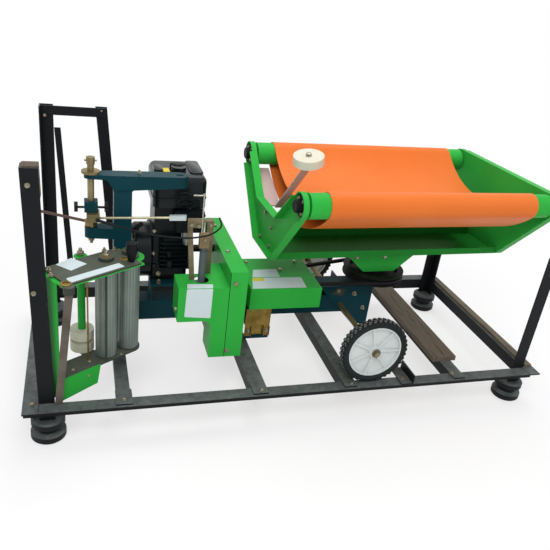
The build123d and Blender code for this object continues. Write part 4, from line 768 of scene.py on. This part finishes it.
filmShafts = ((203, 41), (294, 41))
filmNuts = [(onFilmUnit(p, q, filmLevels["top"]), up, 0.9) for p, q in ((18, 71), (4, 36), (265, 84))]
filmNuts += [(onFilmUnit(p, q, filmLevels["low"]), down, 1.3) for p, q in filmShafts]
filmNuts += [
    (onFilmUnit(160, 122, filmLevels["low"]), down, 1.5),
    (onFilmUnit(234, 97, filmLevels["top"]), up, 1.0),
]
fasten(nutSeed, filmNuts, "film_nuts")
shaftNuts = [(onFilmUnit(160, 122, filmLevels["top"]), up, 1.5)]
shaftNuts += [(onFilmUnit(p, q, filmLevels["shaft"]), up, 1.3) for p, q in filmShafts]
fasten(nutSeed, shaftNuts, "film_shaft_nuts")
filmScrews = [(onFilmUnit(102.6, -4, 210.5), -filmAcross, 1.0)]
filmScrews += [
    (onFilmUnit(p, q, filmLevels["foot"]), up, size)
    for p, q, size in ((62.7, 23.9, 1.0), (239.7, 5, 1.0), (130.5, 33, 1.3))
]
fasten(screwSeed, filmScrews, "film_screws")
bossRing = drum(0.017, 0.0035, 0, 28, 0.0008)
chooseFaces(bossRing, onTop)
bpy.ops.mesh.inset(thickness=0.006, depth=0)
bpy.ops.mesh.extrude_region_move(TRANSFORM_OT_translate={"value": (0, 0, -0.0026)})
bpy.ops.object.mode_set(mode="OBJECT")
bossRing.location = onFilmUnit(12, -33.5, 597.5)
gather([bossRing], "film_boss_ring", brassZinc, "machine")
brassRings = []
for p, q, level in ((203, 41, "shaft"), (294, 41, "shaft"), (252, 12, "top")):
    washer = drum(0.0135, 0.0022, 0, 28, 0.0006)
    washer.location = onFilmUnit(p, q, filmLevels[level])
    brassRings.append(washer)
tieRod = drum(0.0028, 0.359, 0, 12, 0.0004)
tieRod.location = onFilmUnit(130.5, 39.1, filmLevels["foot"])
gather(brassRings + [tieRod], "film_washers_rod", brassZinc, "machine")
print("film unit fitted")


# transport wheels: tyres with a block tread, washers and pins on the axle's ends

wheelPlace = {"x": 234, "z": 281.3, "tyreY": 397.5, "hubY": 421}
hubSizes = {"washer": (0.0175, 0.002), "pin": (0.0016, 0.034), "pinOut": 0.0075}
tyreSizes = {
    "bead": 0.1042, "base": 0.1272, "lugRadius": 0.1287, "count": 40, "halfWidth": 0.0225,
    "lug": (0.0115, 0.0068, 0.005), "shoulder": (0.011, 0.0085, 0.0048), "lugRim": 0.0008, "steps": 84,
}


def tyre(name, side, nodeName, body):
    half = tyreSizes["halfWidth"]
    base, bead = tyreSizes["base"], tyreSizes["bead"]
    halfProfile = [
        (bead, 0.0), (bead, 0.015), (bead + 0.003, 0.0178), (bead + 0.009, half - 0.0022),
        (bead + 0.015, half - 0.0008), (base - 0.0045, half - 0.001), (base - 0.0018, half - 0.0045),
        (base - 0.0004, half - 0.0095), (base, 0.006), (base, 0.0),
    ]
    profile = halfProfile + [(radius, -height) for radius, height in reversed(halfProfile[1:-1])]
    bpy.ops.mesh.primitive_circle_add(vertices=len(profile), radius=0.01)
    carcass = bpy.context.object
    for vertex, (radius, height) in zip(carcass.data.vertices, profile):
        vertex.co = (radius, 0, height)
    bpy.ops.object.mode_set(mode="EDIT")
    bpy.ops.mesh.select_all(action="SELECT")
    bpy.ops.mesh.spin(
        steps=tyreSizes["steps"], angle=2 * math.pi, center=(0, 0, 0), axis=(0, 0, 1), use_auto_merge=True
    )
    closeMesh(weldGap)
    seeds = [block(tyreSizes[key], (0, 0, 0), tyreSizes["lugRim"]) for key in ("lug", "shoulder")]
    parts = [carcass]
    pitch = 2 * math.pi / tyreSizes["count"]
    rows = [
        # seed, radius, height, tilt towards the side, slant, place within the pitch
        (0, tyreSizes["lugRadius"], 0.0046, 0, 38, 0.0), (0, tyreSizes["lugRadius"], -0.0046, 0, -38, 0.5),
        (1, base + 0.0004, 0.0148, 18, -30, 0.25), (1, base + 0.0004, -0.0148, -18, 30, 0.75),
        (1, base - 0.0072, 0.0208, 76, 0, 0.25), (1, base - 0.0072, -0.0208, -76, 0, 0.75),
    ]
    for seedNumber, radius, height, tilt, slant, shift in rows:
        for step in range(tyreSizes["count"]):
            twin = copyOf(seeds[seedNumber], Vector())
            twin.matrix_world = (
                Matrix.Rotation((step + shift) * pitch, 4, "Z")
                @ Matrix.Translation((radius, 0, height))
                @ turned(90 - tilt, "Y")
                @ turned(slant, "Z")
            )
            parts.append(twin)
    whole = fuse(parts)
    middle = mm(wheelPlace["x"], side * wheelPlace["tyreY"], wheelPlace["z"])
    whole.matrix_world = Matrix.Translation(middle) @ turned(90, "X")
    discard(*seeds)
    gather([whole], name, tyreRubberPaintedHighlight, body, 40)
    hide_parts(nodeName)


tyre("tyre_near", -1, "wheel_tyre_near", "near_wheel")
tyre("tyre_far", 1, "wheel_tyre_far", "far_wheel")


def hubDress(name, side):
    washer = drum(*hubSizes["washer"], 0, 28, 0.0005)
    radius, length = hubSizes["pin"]
    pin = drum(radius, length, -length / 2, 10, 0.0005)
    pin.matrix_world = Matrix.Translation((0, 0, hubSizes["pinOut"])) @ turned(90, "X") @ pin.matrix_world
    for part in (washer, pin):
        spot = mm(wheelPlace["x"], side * wheelPlace["hubY"], wheelPlace["z"])
        faceAlong(part, spot, Vector((0, side, 0)))
    gather([washer, pin], name, braceSteel, "machine")


hubDress("hub_pin_near", -1)
hubDress("hub_pin_far", 1)
print("tyres and hubs made")


# engine

def softSlab(size, middle, corner, rim):
    # a slab with rounded upright corners and softened rims
    bpy.ops.mesh.primitive_cube_add(size=1, location=middle)
    slab = bpy.context.object
    slab.scale = size
    bpy.ops.object.transform_apply(location=True, rotation=True, scale=True)
    bpy.context.tool_settings.mesh_select_mode = edgesOnly
    for item in list(slab.data.vertices) + list(slab.data.polygons) + list(slab.data.edges):
        item.select = False
    for edge in slab.data.edges:
        one, other = (slab.data.vertices[i].co for i in edge.vertices)
        edge.select = (one - other).xy.length < weldGap
    bpy.ops.object.mode_set(mode="EDIT")
    bpy.ops.mesh.bevel(offset=corner, segments=7, affect="EDGES")
    bpy.ops.object.mode_set(mode="OBJECT")
    bpy.context.tool_settings.mesh_select_mode = facesOnly
    chooseFaces(slab, onRims)
    bpy.ops.mesh.bevel(offset=rim, segments=2, affect="EDGES")
    bpy.ops.object.mode_set(mode="OBJECT")
    return slab


def rodThrough(points, radius):
    # a thin round bead along a row of points
    parts = []
    for start, end in zip(points, points[1:]):
        stretch = drum(radius, (end - start).length, 0, 10, radius * 0.1)
        faceAlong(stretch, start, end - start)
        parts.append(stretch)
    for spot in points:
        bpy.ops.mesh.primitive_uv_sphere_add(segments=10, ring_count=6, radius=radius, location=spot)
        parts.append(bpy.context.object)
    return parts


engineSizes = {
    "crankY": 62, "crankZ": 492, "starterFace": -614, "louvres": 26, "louvreRadius": 0.069,
    "tankMiddle": (-454, 82), "tankSize": (0.192, 0.212), "tankLip": 0.006, "beadRadius": 0.0032,
    "capRibs": 24, "capCircle": 0.0268, "capFoot": 809,
}

# recoil starter on the left: louvres, middle boss and rim, then its handle
louvre = block((0.034, 0.0045, 0.005), (0, 0, 0), 0.0012)
starterParts = []
for step in range(engineSizes["louvres"]):
    twin = copyOf(louvre, Vector())
    twin.matrix_world = (
        Matrix.Rotation(2 * math.pi * step / engineSizes["louvres"], 4, "Z")
        @ Matrix.Translation((engineSizes["louvreRadius"], 0, 0.001))
        @ turned(35, "Z") @ turned(28, "X")
    )
    starterParts.append(twin)
boss = drum(0.034, 0.009, 0, 40, 0.003, 0.9)
insetTop(boss, (0.009, -0.003))
rimRing = drum(0.096, 0.004, 0, 64, 0.0012)
insetTop(rimRing, (0.006, 0), (0.001, -0.0032))
grille = fuse(starterParts + [boss, rimRing])
faceAlong(grille, mm(engineSizes["starterFace"], engineSizes["crankY"], engineSizes["crankZ"]), leftward)
gather([grille], "starter_grille", engineBlack, "machine")
discard(louvre)

knot = drum(0.0035, 0.008, -0.002, 12, 0.001)
handle = fuse([block((0.058, 0.02, 0.018), (0, 0, 0.013), 0.0075), knot])
handle.matrix_world = Matrix.Translation(mm(-598, -2, 596)) @ turned(-38, "Y") @ handle.matrix_world
gather([handle], "starter_handle", blackPlastic, "machine")

# fuel tank: seam, pads, bead on its front, cap, tap and patch
middleX, middleY = engineSizes["tankMiddle"]
sizeX, sizeY = engineSizes["tankSize"]
lip = engineSizes["tankLip"]
seam = softSlab((sizeX + lip, sizeY + lip, 0.0035), mm(middleX, middleY, 725), 0.029, 0.001)
padLeft = softSlab((0.034, 0.07, 0.014), mm(-529, 58, 811), 0.012, 0.004)
padRight = softSlab((0.05, 0.15, 0.008), mm(-392, 90, 809), 0.014, 0.0035)
gather([seam, padLeft, padRight], "tank_seam_pads", tankBlack, "machine")

tankBead = [
    (-524, 725), (-500, 725), (-485, 727), (-474, 735), (-463, 745), (-450, 749), (-433, 749),
    (-418, 743), (-404, 735), (-393, 728), (-384, 725),
]
tankCurl = [
    (-466, 712), (-458, 719), (-447, 722), (-436, 719), (-429, 711), (-431, 702), (-439, 697),
    (-448, 700), (-449, 707),
]
beadParts = []
for line in (tankBead, tankCurl):
    beadParts += rodThrough([mm(x, -24.5, z) for x, z in line], engineSizes["beadRadius"])
gather(beadParts, "tank_front_bead", tankBlack, "machine", 60)

capRib = drum(0.0022, 0.011, 0.0015, 10, 0.0006)
capRibs = []
for step in range(engineSizes["capRibs"]):
    angle = 2 * math.pi * step / engineSizes["capRibs"]
    outward = engineSizes["capCircle"] * Vector((math.cos(angle), math.sin(angle), 0))
    capRibs.append(copyOf(capRib, mm(middleX, middleY, engineSizes["capFoot"]) + outward))
capTop = drum(0.022, 0.003, 0.822, 36, 0.0012)
capTop.location = mm(middleX, middleY, 0)
gather(capRibs + [capTop], "fuel_cap_ribs", blackPlastic, "machine")
discard(capRib)

tapBody = drum(0.012, 0.01, 0, 24, 0.0015)
tap = fuse([tapBody, block((0.03, 0.007, 0.005), (0.01, 0, 0.012), 0.002)])
faceAlong(tap, mm(-439, -24, 711), front)
gather([tap], "fuel_tap", engineBlack, "machine")

flatPlate(
    [mm(-511, 30, 808), mm(-488, 30, 808), mm(-488, 74, 808), mm(-511, 74, 808)],
    up, 0.0012, 0.003, "tank_yellow_patch", yellowPatch,
)

# air cleaner: ribs, seam and wing knob
cleanerParts = [block((0.096, 0.004, 0.0035), mm(-418, -63, z), 0.0012) for z in (628, 640, 652, 664)]
cleanerParts.append(softSlab((0.108, 0.078, 0.003), mm(-418, -25, 675), 0.006, 0.001))
wing = drum(0.009, 0.012, 0, 20, 0.002, 0.8)
faceAlong(wing, mm(-418, -25, 684), up)
fins = block((0.034, 0.005, 0.012), mm(-418, -25, 693), 0.0022)
gather(cleanerParts + [wing, fins], "cleaner_ribs_knob", engineBlack, "machine")

# carburettor below the air cleaner, with its float bowl and choke lever
carbBody = block((0.036, 0.044, 0.03), mm(-424, -30, 594), 0.004)
carbBowl = drum(0.017, 0.024, 0, 28, 0.003)
carbBowl.location = mm(-424, -38, 556)
bowlBolt = copyOf(boltSeed, mm(-424, -38, 556), down, 0, 0.8)
chokeLever = block((0.005, 0.003, 0.034), mm(-446, -50, 606), 0.001)
gather([carbBody, carbBowl, bowlBolt, chokeLever], "carburettor", carbMetal, "machine")

# crankcase: drain bolt, cover bolts, circles of bolts at both ends, dipstick and plug
caseBolts = [
    (mm(-520, 0, 415), front, 1.2), (mm(-540, 0, 500), front, 0.8), (mm(-540, 0, 590), front, 0.8),
    (mm(-430, 168, 430), back, 0.9), (mm(-530, 168, 430), back, 0.9), (mm(-530, 168, 550), back, 0.9),
    (mm(-430, 168, 550), back, 0.9),
]
boltCircles = ((-412, 58, 6, 30, rightward, 0.85), (-613, 91, 4, 45, leftward, 0.7))
for x, circle, count, start, direction, size in boltCircles:
    for step in range(count):
        angle = math.radians(start + 360 / count * step)
        y = engineSizes["crankY"] + circle * math.cos(angle)
        z = engineSizes["crankZ"] + circle * math.sin(angle)
        caseBolts.append((mm(x, y, z), direction, size))
fasten(boltSeed, caseBolts, "engine_bolts")

dipstick = drum(0.0105, 0.016, 0, 12, 0.002)
dipNeck = drum(0.0085, 0.012, -0.01, 20, 0.001)
dipstick = fuse([dipstick, dipNeck])
dipstick.matrix_world = Matrix.Translation(mm(-535, 4, 442)) @ turned(62, "X")
gather([dipstick], "oil_dipstick", blackPlastic, "machine")

plugBoot = drum(0.009, 0.03, 0, 18, 0.003, 0.75)
plugCap = drum(0.008, 0.022, 0.02, 18, 0.003)
plugCap.matrix_world = Matrix.Translation((0, 0, 0.03)) @ turned(70, "X") @ plugCap.matrix_world
plug = fuse([plugBoot, plugCap])
faceAlong(plug, mm(-490, -36, 520), front)
gather([plug], "plug_boot", rubberBlack, "machine")

# muffler guard: slotted plate on the muffler's right side
guardSizes = {
    "cells": (4, 9), "plate": (0.06, 0.092, 1), "frame": 0.002, "slot": (0.0006, -0.002), "wall": 0.0012,
}
cellsAcross, cellsUp = guardSizes["cells"]
bpy.ops.mesh.primitive_grid_add(x_subdivisions=cellsAcross, y_subdivisions=cellsUp, size=1)
guardPlate = bpy.context.object
guardPlate.scale = guardSizes["plate"]
bpy.ops.object.transform_apply(location=True, rotation=True, scale=True)
chooseFaces(guardPlate, everyFace)
for thickness, depth in ((guardSizes["frame"], 0), guardSizes["slot"]):
    bpy.ops.mesh.inset(thickness=thickness, depth=depth, use_individual=True)
bpy.ops.object.mode_set(mode="OBJECT")
wall = guardPlate.modifiers.new("wall", "SOLIDIFY")
wall.thickness = guardSizes["wall"]
wall.offset = -1
selectOnly(guardPlate)
bpy.ops.object.modifier_apply(modifier="wall")
guardPlate.matrix_world = Matrix.Translation(mm(-341, 124, 618)) @ turned(90, "Z") @ turned(90, "X")
gather([guardPlate], "muffler_guard", mufflerSteel, "machine")
print("engine fitted")


# cutter, controls and pedestal

controlBolts = [
    (mm(-437, -187, 692), front, 0.8), (mm(-412, -187, 688), front, 0.8),
    (mm(-360, -132, 668), front, 0.8),
]
fasten(boltSeed, controlBolts, "control_bolts")
fasten(nutSeed, [(mm(-763.5, -70, 596), down, 1.4)], "shaft_low_nut")

# bent wire that stands on the clevis
wire = {"radius": 0.0026, "rise": 0.148, "bend": 0.008, "reach": 0.028, "steps": 6}
bpy.ops.mesh.primitive_circle_add(vertices=12, radius=wire["radius"], fill_type="NGON")
bentWire = bpy.context.object
bpy.ops.object.mode_set(mode="EDIT")
bpy.ops.mesh.select_all(action="SELECT")
bpy.ops.mesh.extrude_region_move(TRANSFORM_OT_translate={"value": (0, 0, wire["rise"])})
bpy.ops.mesh.spin(
    steps=wire["steps"], angle=math.radians(-90), center=(-wire["bend"], 0, wire["rise"]), axis=(0, 1, 0)
)
bpy.ops.mesh.extrude_region_move(TRANSFORM_OT_translate={"value": (-wire["reach"], 0, 0)})
closeMesh(weldGap)
bentWire.location = mm(-400, -182, 657)
gather([bentWire], "bent_wire", wireSteel, "machine")

clevisPin = fuse([drum(0.004, 0.04, -0.02, 16, 0.0006), drum(0.0065, 0.003, -0.0215, 16, 0.0008)])
faceAlong(clevisPin, mm(-390, -182, 640), front)
splitPin = drum(0.001, 0.018, -0.009, 8, 0.0003)
splitPin.matrix_world = Matrix.Translation(mm(-390, -199, 640)) @ turned(20, "Y") @ splitPin.matrix_world
gather([clevisPin, splitPin], "clevis_pin", boltZinc, "machine")

flatPlate(
    [mm(188, -48, 330), mm(236, -48, 318), mm(252, -48, 352), mm(206, -48, 358)],
    front, 0.002, 0.002, "pedestal_patch", filmSteel,
)
discard(boltSeed, nutSeed, screwSeed)
print("controls and pedestal fitted")


# stage, light and camera

stageSizes = {
    "floor": 60.0, "sink": 0.0005, "near": 1.15, "far": 2.0, "nearShare": 0.6, "world": 0.5,
    "floorShade": 0.9, "floorRough": 0.95,
}


def seenRay(tree):
    # 1 for rays that show the background: from the camera, in gloss or through glass
    rays = tree.nodes.new("ShaderNodeLightPath").outputs
    plain = computed(tree, "MAXIMUM", rays["Is Camera Ray"], rays["Is Glossy Ray"])
    return computed(tree, "MAXIMUM", plain, rays["Is Transmission Ray"])


def blendShaders(tree, share, first, second, target):
    mix = tree.nodes.new("ShaderNodeMixShader")
    for socket, value in zip(mix.inputs, (share, first, second)):
        tree.links.new(value, socket)
    tree.links.new(mix.outputs["Shader"], tree.nodes[target].inputs["Surface"])


bpy.ops.object.select_all(action="DESELECT")
bpy.ops.mesh.primitive_plane_add(size=stageSizes["floor"], location=(0, 0, -stageSizes["sink"]))
floor = bpy.context.object
floor.name = "floor"
bpy.ops.object.transform_apply(location=True, rotation=True, scale=True)
floorLook, floorTree, floorShader = newMaterial("floorLook")
floorShader.inputs["Base Color"].default_value = (stageSizes["floorShade"],) * 3 + (1,)
floorShader.inputs["Roughness"].default_value = stageSizes["floorRough"]
floorGlow = floorTree.nodes.new("ShaderNodeEmission")
distance = computed(
    floorTree, "LENGTH", objectCoords(floorTree), kind="ShaderNodeVectorMath", output="Value"
)
fade = ranged(floorTree, distance, stageSizes["near"], stageSizes["far"], stageSizes["nearShare"])
glowShare = computed(floorTree, "MULTIPLY", fade, seenRay(floorTree))
blendShaders(
    floorTree, glowShare, floorShader.outputs["BSDF"], floorGlow.outputs["Emission"], "Material Output"
)
floor.data.materials.append(floorLook)

world = bpy.data.worlds.new("studio")
scene.world = world
world.use_nodes = True
worldTree = world.node_tree
backgroundLit = worldTree.nodes["Background"]
backgroundSeen = worldTree.nodes.new("ShaderNodeBackground")
for background, strength in ((backgroundLit, stageSizes["world"]), (backgroundSeen, 1.0)):
    background.inputs["Color"].default_value = (1, 1, 1, 1)
    background.inputs["Strength"].default_value = strength
blendShaders(
    worldTree, seenRay(worldTree), backgroundLit.outputs["Background"],
    backgroundSeen.outputs["Background"], "World Output",
)

lamps = [
    {"name": "keyLamp", "at": (-1.6, -3.2, 4.2), "aim": (0, 0, 0.5), "size": 2.2, "power": 120},
    {"name": "fillLamp", "at": (3.4, -2.2, 2.8), "aim": (0.2, 0, 0.5), "size": 3.0, "power": 30},
    {"name": "topLamp", "at": (0.5, 1.2, 4.6), "aim": (0, 0, 0.4), "size": 3.0, "power": 95},
]
for lamp in lamps:
    bpy.ops.object.light_add(type="AREA", location=lamp["at"])
    light = bpy.context.object
    light.name = lamp["name"]
    light.data.size = lamp["size"]
    light.data.energy = lamp["power"]
    light.rotation_euler = (Vector(lamp["aim"]) - Vector(lamp["at"])).to_track_quat("-Z", "Y").to_euler()

shot = {
    "at": (-0.7995, -2.1417, 1.5038), "turn": 19.2556, "down": 25.9724, "roll": 7.5279,
    "focalPixels": 623.87, "framePixels": 550, "sensor": 36.0, "clip": 100.0,
}
bpy.ops.object.camera_add(location=shot["at"])
camera = bpy.context.object
camera.name = "shotCamera"
turn, down, roll = (math.radians(shot[key]) for key in ("turn", "down", "roll"))
forward = Vector((math.sin(turn) * math.cos(down), math.cos(turn) * math.cos(down), -math.sin(down)))
level = Vector((math.cos(turn), -math.sin(turn), 0))
upright = level.cross(forward)
right = level * math.cos(roll) + upright * math.sin(roll)
above = upright * math.cos(roll) - level * math.sin(roll)
camera.matrix_world = Matrix.Translation(shot["at"]) @ Matrix(
    (
        (right.x, above.x, -forward.x),
        (right.y, above.y, -forward.y),
        (right.z, above.z, -forward.z),
    )
).to_4x4()
camera.data.sensor_width = shot["sensor"]
camera.data.lens = shot["focalPixels"] / shot["framePixels"] * shot["sensor"]
camera.data.clip_end = shot["clip"]
scene.camera = camera
scene.view_settings.view_transform = "Standard"
print("stage, lamps and camera set")
